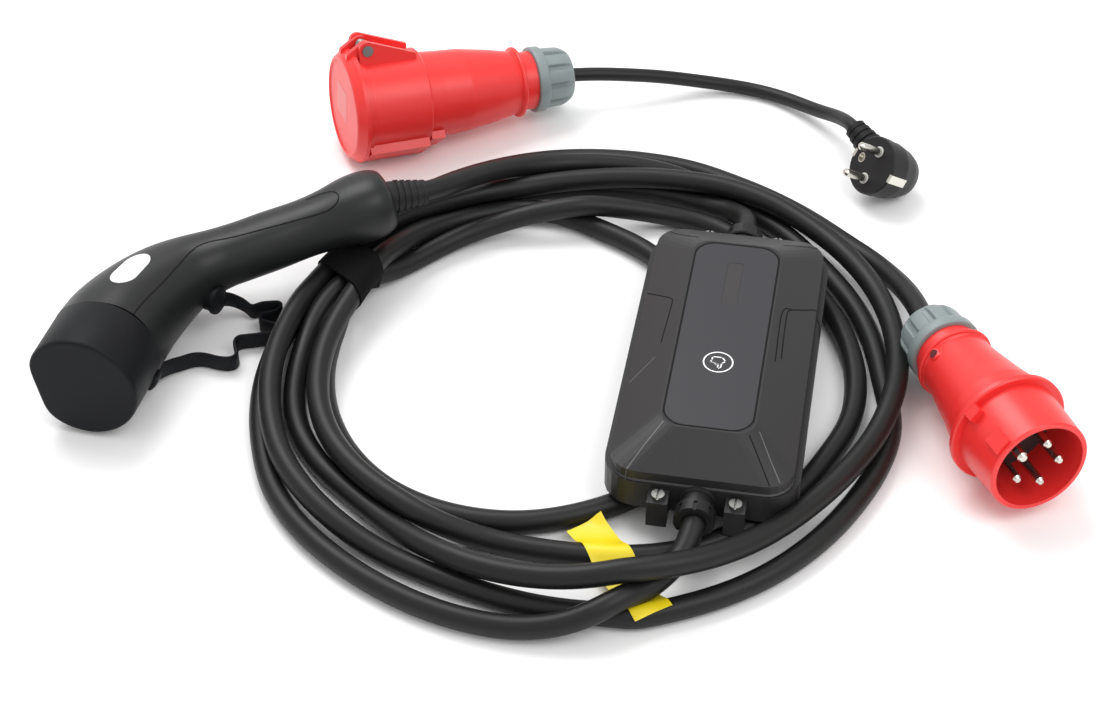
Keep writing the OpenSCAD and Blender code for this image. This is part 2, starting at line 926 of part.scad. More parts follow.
module plug_screw() {
    color("#9a9c9e")
        plug_place()
            plug_keyed()
                plug_screw_rods(2.7);
}

// A gland nut over the threaded end, its front ring at X = 0
module gland_nut(bore_d) {
    difference() {
        turned([[thread_d / 2 + 0.2, 0], [gland_nut_d / 2, 0], [gland_nut_d / 2 + 0.4, 0.6],
            [gland_nut_d / 2 + 0.4, 4.6], [gland_nut_d / 2 - 0.6, 5.4], [gland_nut_d / 2 - 1.6, 19],
            [gland_nut_d / 2 - 5.5, nut_l], [bore_d / 2 + 0.3, nut_l], [bore_d / 2 + 0.3, 18],
            [thread_d / 2 + 0.2, 11.5]], 96);
        for (k = [0:7])
            rotate([45 * k + 12, 0, 0])
                translate([7, -0.7, gland_nut_d / 2 - 2])
                    rotate([0, 6, 0])
                        cube([16, 1.4, 6]);
    }
}

// The rubber ring that the nut squeezes onto the cable
module gland_seal(bore_d) {
    turned([[bore_d / 2, 0.2], [14.3, 0.2], [14.3, 10], [bore_d / 2, 10]]);
}

module plug_seal() {
    color("#2a2a2a")
        plug_place()
            translate([plug_rear + neck_l, 0, 0])
                gland_seal(cable_d);
}

module plug_nut() {
    color("#8e9896")
        plug_place()
            translate([plug_rear + neck_l, 0, 0])
                gland_nut(cable_d);
}

/* Red coupler. Local X runs back from the closed lid's face and the hinge is at +Z */

module coupler_place() {
    translate(coupler_at + frame_shift)
        rotate(coupler_turn)
            children();
}

sleeve_d = 64;
flange_front = lid_l + 0.6;
seal_back = 6;
sleeve_front = seal_back + slide_gap;
sleeve_end = 51;
insert_d = 49.6;
body_end = 119;
hinge_x = 15;
hinge_z = lid_d / 2 + 2.1;
knuckle_out = 8.6;
knuckle_in = 4.6;
cheek_t = 3.2;
pad_w = 24;
pad_reach = 35;

// One cheek of the hinge bracket, seen from the side
module hinge_cheek() {
    translate([hinge_x, hinge_z])
        circle(d = 11, $fn = hole_fn);
    polygon([[flange_front + 1, sleeve_d / 2 - 4], [hinge_x - 5.4, hinge_z - 1],
        [hinge_x + 1.2, hinge_z + 5.36], [sleeve_end - 4, sleeve_d / 2 + 1.4],
        [sleeve_end - 4, sleeve_d / 2 - 4]]);
}

// One arm of the lid with its knuckle, seen from the side
module lid_arm() {
    translate([hinge_x, hinge_z])
        circle(d = 9.6, $fn = hole_fn);
    polygon([[1.8, lid_d / 2 - 3.7], [2.4, lid_d / 2 - 0.3], [hinge_x - 3, hinge_z + 3.74],
        [hinge_x + 1, hinge_z - 4.69], [lid_l - 0.4, lid_d / 2 - 2.3], [lid_l - 0.4, lid_d / 2 - 3.7]]);
}

module coupler_sleeve() {
    color("#e0322c")
        coupler_place()
            difference() {
                union() {
                    turned([[0, sleeve_front], [sleeve_d / 2 - 0.8, sleeve_front],
                        [sleeve_d / 2 - 0.8, flange_front], [33, flange_front],
                        [33, flange_front + 3.2], [sleeve_d / 2, flange_front + 3.6],
                        [sleeve_d / 2 - 0.4, sleeve_end - 1], [sleeve_d / 2 - 1.4, sleeve_end],
                        [0, sleeve_end]], 96);
                    for (side = [-1, 1])
                        translate([0, side * (knuckle_out + 0.3 + cheek_t / 2), 0])
                            rotate([90, 0, 0])
                                translate([0, 0, -cheek_t / 2])
                                    linear_extrude(cheek_t)
                                        hinge_cheek();
                    translate([hinge_x + 8, -knuckle_out - 1, 28])
                        cube([4, 2 * knuckle_out + 2, 9]);
                    rotate([150, 0, 0])
                        translate([flange_front + 1, -pad_w / 2, pad_reach - 6])
                            cube([sleeve_end - flange_front - 3, pad_w, 6]);
                }
                rod(sleeve_d - 5.6, 0, sleeve_end - 6, 96);
                rod(insert_d - 6, 0, sleeve_end + cut, 96);
                translate([hinge_x, 20, hinge_z])
                    rotate([90, 0, 0])
                        cylinder(d = hinge_d, h = 40, $fn = hole_fn);
                coupler_screw_rod(2 + cut);
            }
}

module coupler_insert() {
    color("#3b3b3d")
        coupler_place()
            difference() {
                union() {
                    rod(insert_d, sleeve_front + 2, sleeve_end - 6, 96);
                    rod(insert_d - 6.2, sleeve_end - 7, sleeve_end + 8, 96);
                }
                rotate([210, 0, 0]) {
                    at_pins([1:4])
                        rod(pin_d + 1.6, sleeve_front, sleeve_end + 9);
                    at_pins([0])
                        rod(earth_pin_d + 1.6, sleeve_front, sleeve_end + 9);
                }
            }
}

module coupler_sockets() {
    color("#c9a552")
        coupler_place()
            rotate([210, 0, 0]) {
                at_pins([1:4])
                    difference() {
                        rod(pin_d + 1.6, sleeve_front + 6, sleeve_end + 14);
                        rod(pin_d, sleeve_front + 5, sleeve_end - 8);
                    }
                at_pins([0])
                    difference() {
                        rod(earth_pin_d + 1.6, sleeve_front + 4, sleeve_end + 14);
                        rod(earth_pin_d, sleeve_front + 3, sleeve_end - 8);
                    }
            }
}

module coupler_body() {
    color("#e0322c")
        coupler_place()
            difference() {
                union() {
                    turned(concat([[0, sleeve_end], [28.5, sleeve_end], [27.6, 62], [26.8, 80],
                        [23.6, 100], [20.6, body_end - 4]], threaded_end(body_end)), 96);
                    rotate([150, 0, 0])
                        translate([sleeve_end, -pad_w / 2, 26])
                            cube([9, pad_w, 5]);
                }
                turned([[0, sleeve_end - cut], [25.5, sleeve_end - cut], [24.6, 62], [23.8, 80],
                    [20.8, 100], [18, body_end - 4], [14.5, body_end + neck_l + 11],
                    [0, body_end + neck_l + 11]], 96);
            }
}

module coupler_screw_rod(h) {
    rotate([205, 0, 0])
        translate([sleeve_front + 8, 0, sleeve_d / 2 - 2])
            cylinder(d = 4, h = h, $fn = hole_fn);
}

// The small screw beside the latch pad
module coupler_screw() {
    color("#5c1512")
        coupler_place()
            coupler_screw_rod(2.6);
}

module coupler_seal() {
    color("#2a2a2a")
        coupler_place()
            translate([body_end + neck_l, 0, 0])
                gland_seal(lead_d);
}

module coupler_nut() {
    color("#8e9896")
        coupler_place()
            translate([body_end + neck_l, 0, 0])
                gland_nut(lead_d);
}

module coupler_lid() {
    color("#e0322c")
        coupler_place()
            difference() {
                union() {
                    turned([[0, 0.8], [lid_d / 2 - 7, 0.8], [lid_d / 2 - 6.2, 0], [lid_d / 2 - 5, 0],
                        [lid_d / 2 - 3.8, 0.6], [lid_d / 2, lid_l - 2.4], [lid_d / 2, lid_l],
                        [0, lid_l]], 96);
                    for (side = [-1, 1])
                        translate([0, side * (knuckle_out + knuckle_in) / 2, 0])
                            rotate([90, 0, 0])
                                translate([0, 0, (knuckle_in - knuckle_out) / 2])
                                    linear_extrude(knuckle_out - knuckle_in)
                                        lid_arm();
                }
                rod(lid_d - 6, 3.2, lid_l + cut, 96);
                translate([hinge_x, 20, hinge_z])
                    rotate([90, 0, 0])
                        cylinder(d = hinge_d + 2 * turn_gap, h = 40, $fn = hole_fn);
            }
}

module lid_seal() {
    color("#2a2a2a")
        coupler_place()
            turned([[lid_d / 2 - 7.7, 3.2], [lid_d / 2 - 3, 3.2], [lid_d / 2 - 3, seal_back],
                [lid_d / 2 - 7.7, seal_back]], 96);
}

module hinge_pin() {
    color("#c3c5c8")
        coupler_place()
            translate([hinge_x, 0, hinge_z])
                rotate([90, 0, 0])
                    translate([0, 0, -knuckle_out - cheek_t - 0.3]) {
                        cylinder(d = hinge_d, h = 2 * (knuckle_out + cheek_t + 0.3), $fn = hole_fn);
                        translate([0, 0, 2 * (knuckle_out + cheek_t + 0.3)])
                            cylinder(d = hinge_d + 3, h = 1.2, $fn = hole_fn);
                    }
}

spring_wire = 1;
spring_r = hinge_d / 2 + 1.1;
spring_turns = 4;

module lid_spring() {
    color("#b9bcc0")
        coupler_place()
            translate([hinge_x, 0, hinge_z])
                for (k = [0:spring_turns])
                    translate([0, (k - spring_turns / 2) * spring_wire * 1.4, 0])
                        rotate([90, 0, 0])
                            rotate_extrude($fn = hole_fn)
                                translate([spring_r, 0])
                                    circle(d = spring_wire, $fn = 16);
}

/* Wall plug. Local X is the way its pins point and its cable leaves along Y */

module wall_plug_place() {
    translate(wall_plug_at + frame_shift)
        rotate(wall_plug_turn)
            children();
}

wall_plug_l = 33;
face_t = 6;
wall_boot_x = -19;
wall_boot_turn = [0, 15, 75];

module wall_plug_body() {
    color("#1d1e20")
        wall_plug_place()
            difference() {
                union() {
                    turned([[0, -face_t], [wall_plug_d / 2 - 0.6, -face_t], [wall_plug_d / 2 - 0.6, -14],
                        [16, -24], [13.5, -30], [10, -wall_plug_l], [0, -wall_plug_l]]);
                    translate([wall_boot_x, 0, 0])
                        rotate(wall_boot_turn)
                            rod(19, 0, 20);
                    translate([wall_boot_x - 8, 0, -8.5])
                        cube([16, 15, 17]);
                }
                translate([wall_boot_x, 0, 0])
                    rotate(wall_boot_turn)
                        rod(lead_d + 5, 6, 21);
                rod(2 * wall_plug_d, -face_t, wall_pin_l);
                wall_earth_channels();
            }
}

// Back ends of the two earth springs, the one beside the cable being the shorter
function earth_from(side) = side > 0 ? -face_t : -14.6;

module wall_earth_channels() {
    for (side = [-1, 1])
        translate([earth_from(side), side * (wall_plug_d / 2) - (side > 0 ? 2.2 : 0.8), -2.7])
            cube([cut - earth_from(side), 3, 5.4]);
}

module wall_plug_face() {
    color("#2a2b2d")
        wall_plug_place()
            difference() {
                turned([[0, -face_t], [wall_plug_d / 2, -face_t], [wall_plug_d / 2, -0.8],
                    [wall_plug_d / 2 - 0.8, 0], [0, 0]]);
                for (side = [-1, 1])
                    translate([0, 0, side * wall_pin_gap / 2])
                        rod(wall_pin_d - 2 * root_step, -face_t - cut, cut);
                translate([0, 11, 0])
                    rod(6.5, -face_t - cut, cut);
                wall_earth_channels();
            }
}

module wall_plug_pins() {
    color("#d8dadc")
        wall_plug_place()
            for (side = [-1, 1])
                translate([0, 0, side * wall_pin_gap / 2])
                    turned([[0, -face_t], [wall_pin_d / 2 - root_step, -face_t],
                        [wall_pin_d / 2 - root_step, root_gap], [wall_pin_d / 2, root_gap],
                        [wall_pin_d / 2, wall_pin_l - 1.8], [wall_pin_d / 2 - 1.3, wall_pin_l],
                        [0, wall_pin_l]], hole_fn);
}

// Side earth springs, and the round earth socket
module wall_plug_earths() {
    color("#c9cccf")
        wall_plug_place() {
            for (side = [-1, 1])
                translate([earth_from(side), side * (wall_plug_d / 2) - (side > 0 ? 2.2 : 0.2), -2.7])
                    cube([-earth_from(side) - 0.4, 2.4, 5.4]);
            translate([0, 11, 0])
                difference() {
                    rod(6.5, -face_t, -0.6);
                    rod(4.9, -face_t + 1.5, 0);
                }
        }
}

module wall_plug_boot() {
    color("#151617")
        wall_plug_place()
            translate([wall_boot_x, 0, 0])
                rotate(wall_boot_turn) {
                    turned([[lead_d / 2, 6], [lead_d / 2 + 2.5, 6], [lead_d / 2 + 2.5, 20],
                        [lead_d / 2 + 3.6, 20], [lead_d / 2 + 1.4, 40], [lead_d / 2, 40]]);
                    for (k = [0:3])
                        turned([[lead_d / 2 + 1, 22 + 4.8 * k], [9 - 0.7 * k, 22 + 4.8 * k],
                            [9 - 0.7 * k, 24.6 + 4.8 * k], [lead_d / 2 + 1, 24.6 + 4.8 * k]]);
                }
}

/* Cables */

// Outline of the coil's lower layer as [radius, height]
coil_profile = [[coil_in, coil_round], [coil_in + coil_round, 0], [coil_out - coil_round, 0],
    [coil_out, coil_round], [coil_out, cable_d - coil_round], [coil_out - coil_round, cable_d],
    [coil_in + coil_round, cable_d], [coil_in, cable_d - coil_round]];

module coil_body() {
    translate(coil_at) {
        for (side = [0, 1])
            rotate([0, 0, 180 * side]) {
                translate([0, coil_straight / 2, 0])
                    rotate_extrude(angle = 180, $fn = 120)
                        polygon(coil_profile);
                translate([0, coil_straight / 2, 0])
                    rotate([90, 0, 0])
                        linear_extrude(coil_straight)
                            polygon(coil_profile);
            }
        translate([raised_at[0], raised_at[1], cable_d])
            rotate_extrude($fn = 120)
                translate([raised_r - cable_d / 2, -0.5])
                    square([cable_d, cable_d + 0.5]);
    }
}

module strap_place() {
    translate(coil_at + [0, coil_straight / 2, 0])
        rotate([0, 0, strap_angle])
            children();
}

// Distance from the strap's centre, along the strap, at which it meets a circle of the raised turn
function along_strap(r) =
    let (c = raised_at - [0, coil_straight / 2], u = [cos(strap_angle), sin(strap_angle)])
        c * u + sqrt(r * r - c * c + (c * u) * (c * u));

// The strap's loop round the turns, as [radius, height] points at a distance outside them
function strap_outline(out) = [[coil_in - out, 4], [coil_in + 3, strap_t + strap_gap - out],
    [coil_out - 3, strap_t + strap_gap - out], [coil_out + out, 4], [coil_out + out, cable_d - 2],
    [along_strap(raised_r + cable_d / 2) - 1, 2 * cable_d + out],
    [along_strap(raised_r - cable_d / 2) + 1, 2 * cable_d + out], [coil_in - out, cable_d - 2]];

module strap_block(out, w) {
    strap_place()
        translate([0, w / 2, 0])
            rotate([90, 0, 0])
                linear_extrude(w)
                    polygon(strap_outline(out));
}

module strap_ring() {
    difference() {
        strap_block(strap_t + strap_gap, strap_w);
        strap_block(strap_gap, strap_w + 2 * cut);
    }
}

module label_plate() {
    translate(label_at)
        rotate([0, 0, label_turn])
            translate([0, 0, label_size[2] / 2])
                cube(label_size, center = true);
}

module cable_coil() {
    color("#232425")
        translate(frame_shift)
            difference() {
                coil_body();
                strap_ring();
                label_plate();
            }
}

module inner_turn() {
    color("#232425")
        translate(frame_shift + [inner_turn_at[0], inner_turn_at[1], cable_d / 2])
            rotate_extrude($fn = 120)
                translate([inner_turn_r, 0])
                    circle(d = cable_d, $fn = 24);
}

module free_cable(route, d) {
    color("#232425")
        translate(frame_shift)
            swept(route, circle_points(d, 12));
}

module gun_lead() {
    free_cable(gun_route, cable_d);
}

module box_lead() {
    free_cable(box_route, cable_d);
}

module supply_start() {
    difference() {
        free_cable(supply_start_route, cable_d);
        translate(frame_shift)
            label_plate();
    }
}

module supply_lead() {
    free_cable(supply_route, cable_d);
}

module adapter_lead() {
    free_cable(adapter_route, lead_d);
}

module coil_strap() {
    color("#141516")
        translate(frame_shift)
            strap_ring();
}

module cable_label() {
    color("#e6d23a")
        translate(frame_shift)
            label_plate();
}

box_base();
box_cover();
box_seal();
front_panel();
status_lens();
circuit_board();
board_screws();
relays();
terminal_blocks();
current_sensor();
box_screws();
tab_screws();
box_glands();
box_gland_nuts();
cable_clamps();
gun_cover();
gun_grip();
gun_badge();
gun_nose();
gun_insert();
gun_contacts();
gun_screws();
gun_boot();
dust_cap();
cap_tether();
plug_shroud();
plug_body();
plug_carrier();
plug_pins();
plug_earth_pin();
plug_screw();
plug_seal();
plug_nut();
coupler_sleeve();
coupler_body();
coupler_insert();
coupler_sockets();
coupler_screw();
coupler_seal();
coupler_nut();
coupler_lid();
lid_seal();
hinge_pin();
lid_spring();
wall_plug_body();
wall_plug_face();
wall_plug_pins();
wall_plug_earths();
wall_plug_boot();
cable_coil();
inner_turn();
gun_lead();
box_lead();
supply_start();
supply_lead();
adapter_lead();
coil_strap();
cable_label();
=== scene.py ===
import json
import math

import bpy
from mathutils import Euler, Matrix, Vector
from mathutils.bvhtree import BVHTree
from mathutils.kdtree import KDTree


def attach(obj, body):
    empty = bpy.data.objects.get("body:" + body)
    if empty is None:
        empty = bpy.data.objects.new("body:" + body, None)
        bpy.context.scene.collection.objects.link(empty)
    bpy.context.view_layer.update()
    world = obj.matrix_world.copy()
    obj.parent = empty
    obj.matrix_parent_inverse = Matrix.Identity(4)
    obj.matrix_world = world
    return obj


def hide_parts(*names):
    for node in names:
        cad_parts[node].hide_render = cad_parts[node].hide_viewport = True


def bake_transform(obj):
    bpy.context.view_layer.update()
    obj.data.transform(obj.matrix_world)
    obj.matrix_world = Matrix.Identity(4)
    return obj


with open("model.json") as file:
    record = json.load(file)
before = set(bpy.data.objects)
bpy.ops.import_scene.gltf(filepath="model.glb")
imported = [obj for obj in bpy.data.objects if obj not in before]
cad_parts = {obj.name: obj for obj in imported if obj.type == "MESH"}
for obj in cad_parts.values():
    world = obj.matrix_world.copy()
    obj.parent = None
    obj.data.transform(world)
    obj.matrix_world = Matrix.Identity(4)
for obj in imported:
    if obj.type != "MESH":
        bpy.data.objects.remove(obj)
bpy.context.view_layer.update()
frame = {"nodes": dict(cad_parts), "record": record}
nodes, record = frame["nodes"], frame["record"]
slotOf = {part["node"]: part["material_slot"] for part in record["subparts"]}
mm = 0.001
print("frame loaded:", len(nodes), "nodes")


# Camera

cameraLook = {
    "place": (0.068, -0.996, 0.853),
    "pitch": 48.0,  # degrees up from straight down
    "lens": 70.0,
    "sensor": 36.0,
    "clip": (0.05, 50),
}


def makeCamera(look):
    data = bpy.data.cameras.new("camera")
    data.lens = look["lens"]
    data.sensor_width = look["sensor"]
    data.clip_start, data.clip_end = look["clip"]
    camera = bpy.data.objects.new("camera", data)
    camera.location = look["place"]
    camera.rotation_euler = (math.radians(look["pitch"]), 0, 0)
    bpy.context.scene.collection.objects.link(camera)
    bpy.context.scene.camera = camera


makeCamera(cameraLook)
print("camera made")


# Shader maths: an expression on sockets adds its Math nodes

class Socket:
    def __init__(self, material, link):
        self.material = material
        self.link = link

    def math(self, operation, first, second):
        return self.material.node("ShaderNodeMath", {"operation": operation}, [first, second])

    def __add__(self, other):
        return self.math("ADD", self, other)

    def __sub__(self, other):
        return self.math("SUBTRACT", self, other)

    def __rsub__(self, other):
        return self.math("SUBTRACT", other, self)

    def __mul__(self, other):
        return self.math("MULTIPLY", self, other)

    __radd__ = __add__
    __rmul__ = __mul__


# A material with one Principled shader

class Material:
    def __init__(self, name, colour, roughness, metallic=0.0, ior=1.5):
        self.data = bpy.data.materials.new(name)
        self.data.use_nodes = True
        self.data.diffuse_color = (*colour, 1)
        self.nodes = self.data.node_tree.nodes
        self.links = self.data.node_tree.links
        self.shader = self.nodes["Principled BSDF"]
        self.set("Base Color", (*colour, 1))
        self.set("Roughness", roughness)
        self.set("Metallic", metallic)
        self.set("IOR", ior)

    # Any node: its type, its settings, the values or links of its sockets, and the output used
    def node(self, kind, settings, values, output=0):
        node = self.nodes.new(kind)
        for name, value in settings.items():
            setattr(node, name, value)
        pairs = values.items() if isinstance(values, dict) else enumerate(values)
        for key, value in pairs:
            self.plug(node.inputs[key], value)
        return Socket(self, node.outputs[output])

    def plug(self, target, value):
        if isinstance(value, Socket):
            self.links.new(value.link, target)
        else:
            target.default_value = value

    def set(self, name, value):
        self.plug(self.shader.inputs[name], value)

    def noise(self, scale, detail=2.0):
        place = self.node("ShaderNodeTexCoord", {}, {}, "Object")
        values = {"Scale": scale, "Detail": detail, "Vector": place}
        return self.node("ShaderNodeTexNoise", {}, values, "Fac")

    def bump(self, height, distance):
        values = {"Height": height, "Distance": distance}
        self.set("Normal", self.node("ShaderNodeBump", {}, values))


# Materials. Spread is how far the gloss varies in patches, and grain is the height of a fine
# bump in metres.

def plainMaterial(name, colour, roughness, grain=0.0, grainScale=900.0, spread=0.05,
                  patchScale=35.0, **more):
    m = Material(name, colour, roughness, **more)
    if spread:
        m.set("Roughness", (m.noise(patchScale) - 0.5) * (2 * spread) + roughness)
    if grain:
        m.bump(m.noise(grainScale, detail=3.0), grain)
    return m


def metalMaterial(name, colour, roughness):
    return plainMaterial(name, colour, roughness, spread=0.06, patchScale=120.0, metallic=1.0)


finishes = {
    "box_shell": plainMaterial("boxShell", (0.022, 0.0215, 0.023), 0.42, 0.00005, 1200.0, ior=1.38),
    "panel_glass": plainMaterial("panelGlass", (0.034, 0.033, 0.038), 0.36, spread=0.02, ior=1.38),
    "lens": plainMaterial("smokedLens", (0.036, 0.033, 0.034), 0.34, spread=0.0, ior=1.4),
    "pale_seal": plainMaterial("paleSeal", (0.10, 0.10, 0.105), 0.6),
    "board": plainMaterial("board", (0.02, 0.12, 0.06), 0.4),
    "black_plastic": plainMaterial("blackPlastic", (0.010, 0.010, 0.011), 0.45, 0.00004, ior=1.38),
    "gun_shell": plainMaterial("gunShell", (0.010, 0.0105, 0.011), 0.41, 0.00005, 1400.0, ior=1.40),
    "cap_rubber": plainMaterial("capRubber", (0.0045, 0.005, 0.0065), 0.55, 0.00004, 1100.0,
                                ior=1.27),
    "black_rubber": plainMaterial("blackRubber", (0.009, 0.009, 0.010), 0.55, 0.00004, ior=1.35),
    "red_plastic": plainMaterial("redPlastic", (0.80, 0.030, 0.028), 0.36, 0.00003, 700.0),
    "dark_insert": plainMaterial("darkInsert", (0.05, 0.05, 0.052), 0.5),
    "grey_nut": plainMaterial("greyNut", (0.215, 0.255, 0.255), 0.46, 0.00004, 700.0),
    "cable_jacket": plainMaterial("cableJacket", (0.0085, 0.009, 0.0085), 0.44, 0.00004, 600.0,
                                  ior=1.36),
    "webbing": plainMaterial("webbing", (0.005, 0.005, 0.005), 0.9, 0.0003, 1500.0, ior=1.2),
    "yellow_label": plainMaterial("yellowLabel", (0.84, 0.66, 0.010), 0.38, 0.00003, 300.0,
                                  spread=0.03),
    "screw_steel": metalMaterial("screwSteel", (0.30, 0.30, 0.29), 0.34),
    "contact_brass": metalMaterial("contactBrass", (0.72, 0.55, 0.25), 0.3),
    "plated_pin": metalMaterial("platedPin", (0.66, 0.64, 0.58), 0.24),
}


# The finish of one of the record's slots, or a material of the piece's own
def paint(obj, slotName, material=None):
    obj.data.materials.clear()
    obj.data.materials.append((material or finishes[slotName]).data)


# Places: the part's source lays everything out in millimetres, with this shift to the frame

layoutShift = (68, -71)


def toFrame(point):
    x, y = layoutShift
    return Vector(((point[0] + x) * mm, (point[1] + y) * mm, point[2] * mm))


def placed(place, turn):
    angles = [math.radians(a) for a in turn]
    return Matrix.Translation(toFrame(place)) @ Euler(angles, "XYZ").to_matrix().to_4x4()


boxPlace = placed((91, -21, 13), (0, 0, -10))
gunPlace = placed((-264, -47, 34.7), (-12, 3.3, 78))
plugPlace = placed((254, -111, 37.3), (0, 5, 109))
couplerPlace = placed((-138.5, 212.6, 38.7), (-15, 5, 21))


# Paths

# A point between b and c on the smooth line through a, b, c and d
def curvePoint(a, b, c, d, t):
    return 0.5 * (2 * b + (c - a) * t + (2 * a - 5 * b + 4 * c - d) * t * t
                  + (3 * b - a - 3 * c + d) * t ** 3)


def withEnds(points):
    return [2 * points[0] - points[1]] + points + [2 * points[-1] - points[-2]]


# A smooth line through points, with a number of parts to each span that partsOf works out
def throughPoints(points, partsOf):
    ends = withEnds(points)
    line = []
    for a, b, c, d in zip(ends, ends[1:], ends[2:], ends[3:]):
        parts = max(1, round(partsOf(b, c)))
        line += [curvePoint(a, b, c, d, k / parts) for k in range(parts)]
    return line + [points[-1]]


# A smooth line with a point every step, eased a few times as a stiff cable would be
def smoothLine(points, step, softness=0):
    line = throughPoints([Vector(p) for p in points], lambda b, c: (c - b).length / step)
    for _ in range(softness):
        eased = [(a + 2 * b + c) / 4 for a, b, c in zip(line, line[1:], line[2:])]
        line = [line[0], *eased, line[-1]]
    return line


def lineLength(line):
    return sum((b - a).length for a, b in zip(line, line[1:]))


# The same line with points at one distance from each other
def evenly(line, step):
    count = max(2, round(lineLength(line) / step))
    step = lineLength(line) / count
    out = [line[0].copy()]
    travelled = 0
    for a, b in zip(line, line[1:]):
        length = (b - a).length
        while travelled + length >= step * len(out) and len(out) < count:
            out.append(a.lerp(b, (step * len(out) - travelled) / length))
        travelled += length
    out.append(line[-1].copy())
    return out


# Angles of points evenly round a circle
def roundAngles(count):
    return [2 * math.pi * k / count for k in range(count)]


# Cables: each is laid along one route. Stations are degrees round the coil's
# middle, and the radius and height of the cable's middle in mm.

cables = {
    "diameter": 13.0,
    "leadDiameter": 9.0,
    "carLength": 4.2,
    "supplyLength": 1.03,
    "adapterLength": 0.25,
    "coilCentre": (16.6, 0.3),
    "turnStep": 3.0,  # degrees between points of a turn
    "spacing": 5.0,  # mm between points of a cable while it settles
    "easeRounds": 8,
    "clearance": 1.02,  # share of the diameter that strands keep apart
    "settleRounds": 150,
    "push": 0.8,  # share of an overlap that one round takes out
    "fall": 0.08,  # mm that a cable sinks in a round, less and less
    "reach": 3,  # points over which a move is spread, until lateFrom
    "lateFrom": 0.7,
    "nearby": 8,  # points along one cable that don't push each other
    "held": 7,  # points at each end that stay
    "ramp": 6,  # points from there to a full move
    "underBox": (0.057, 0.108, 0.004),  # half width, half length and height in metres
    "bevel": 5,
    "adapterStep": 0.004,  # metres
    "adapterSoftness": 8,
}
low = cables["diameter"] / 2
high = low + cables["diameter"]

farGlandTurn = [
    (45, 133, 25), (48, 147, 24.5), (51, 157, 19.5), (55, 164, 13), (60, 169, 9), (70, 171, low),
    (83, 169, low), (96, 169, low), (113, 170, low), (131, 169, low), (145, 164, low),
    (157, 158, low), (168, 154, low), (185, 154, low), (206, 152, low), (225, 146, low),
    (249, 131, low), (272, 113, low), (302, 94, low), (340, 76, low), (364, 72, low),
    (387, 76, low), (407, 88, low),
]
innerTurn = [
    (428, 110, low), (446, 128, low), (456, 144, low), (466, 154, low), (480, 157, low),
    (493, 156, 9), (505, 153, 15), (513, 151, high), (522, 150, high), (539, 155, high),
    (562, 160, high), (585, 158, high), (597, 155, 16), (607, 148, 9), (617, 146, low),
    (630, 147, low), (645, 151, low), (660, 152, low), (690, 150, low), (703, 153.5, low),
    (729, 154, low), (757, 154, low), (778, 158, 7), (792, 149, 11), (806, 139, 17.5),
    (815, 136, high), (825, 138, 17), (835, 143, 12), (846, 147, 8), (857, 148, low),
]
middleTurn = [
    (866, 151, 10), (874, 158, 17.5), (882, 165, 15), (890, 168, 9), (899, 169, low),
    (914, 171, low), (927, 168, low), (939, 163, 7), (950, 164, 11), (963, 173, 18),
    (974, 177, 20), (985, 180, 22), (997, 181, 24), (1009, 177, 23), (1022, 171, 20),
    (1035, 168, 20), (1048, 169, 20), (1059, 172, high), (1084, 178, high), (1105, 181, high),
    (1132, 178, high), (1145, 173, high), (1158, 168, high), (1170, 165, high), (1185, 164, high),
    (1200, 165, high), (1215, 167, high), (1238, 166, high), (1248, 169, high), (1266, 179, high),
]
outerTurn = [
    (1283, 186, high), (1290, 187, high), (1297, 186.5, 18), (1305, 184, 14), (1313, 181, 9),
    (1325, 179, low), (1347, 185, low), (1362, 186, low), (1376, 185, low), (1402, 179, low),
    (1414, 178, low), (1424, 176, low), (1432, 171, low), (1440, 168, low), (1472, 168, low),
    (1484, 173, low), (1495, 177, low), (1503, 182, 8), (1510, 185, 12), (1518, 183, 17),
    (1527, 181, high), (1535, 178.5, 20.5), (1541.7, 173.3, 24), (1546.2, 168.4, 28.5),
    (1549.7, 164.1, 32.5), (1554.4, 158.6, 37), (1561, 151, 42.8), (1568.3, 146, 47.9),
    (1571.7, 146.7, 49.4), (1574.2, 149, 50.1), (1576.5, 152.1, 50.8), (1579.2, 155.8, 51.6),
]
supplyStations = [
    (-68.5, 147, 25), (-71, 159, 21), (-76, 170, 16), (-82, 182, 16), (-88, 192, 14),
    (-94, 197, 9), (-101, 200, low), (-112, 201, low), (-128, 200, low), (-142, 199, low),
    (-152, 196, low), (-159, 191, low), (-167, 187, low), (-176, 183, low), (-186, 179, low),
    (-196, 176, low), (-208, 176, low), (-220, 180, low), (-232, 188, low), (-244, 194, low),
    (-256, 198, low), (-268, 200, low), (-289, 200, low), (-300, 196.5, low), (-322, 195, low),
    (-330, 198, 8), (-338, 197.5, 13), (-344.7, 196.3, 19), (-350.6, 195.5, 23.5),
    (-355, 195, 25.4), (-358.5, 197.4, 26.4),
]
# The adapter's lead, as x, y and height in mm
adapterRoute = [
    (0, 266, 25.8), (22, 271, 23.5), (41, 274, 21), (66, 279, 16), (90, 283, 10), (114, 283, 6),
    (134, 278, 5), (153, 266, 6.5), (170, 247, 11), (182, 227, 20), (188, 205, 28.7),
    (194, 195, 25.8),
]


def aroundCoil(stations, look):
    turned = throughPoints([Vector(s) for s in stations],
                           lambda b, c: abs(c[0] - b[0]) / look["turnStep"])
    x, y = look["coilCentre"]
    line = []
    for angle, radius, height in turned:
        a = math.radians(angle)
        line.append(toFrame((x + radius * math.cos(a), y + radius * math.sin(a), height)))
    return line


def layCable(stations, look):
    line = evenly(aroundCoil(stations, look), look["spacing"] * mm)
    for _ in range(look["easeRounds"]):
        line[2:-4] = [(a + 2 * b + c) / 4 for a, b, c in zip(line[1:], line[2:-4], line[3:])]
    return line


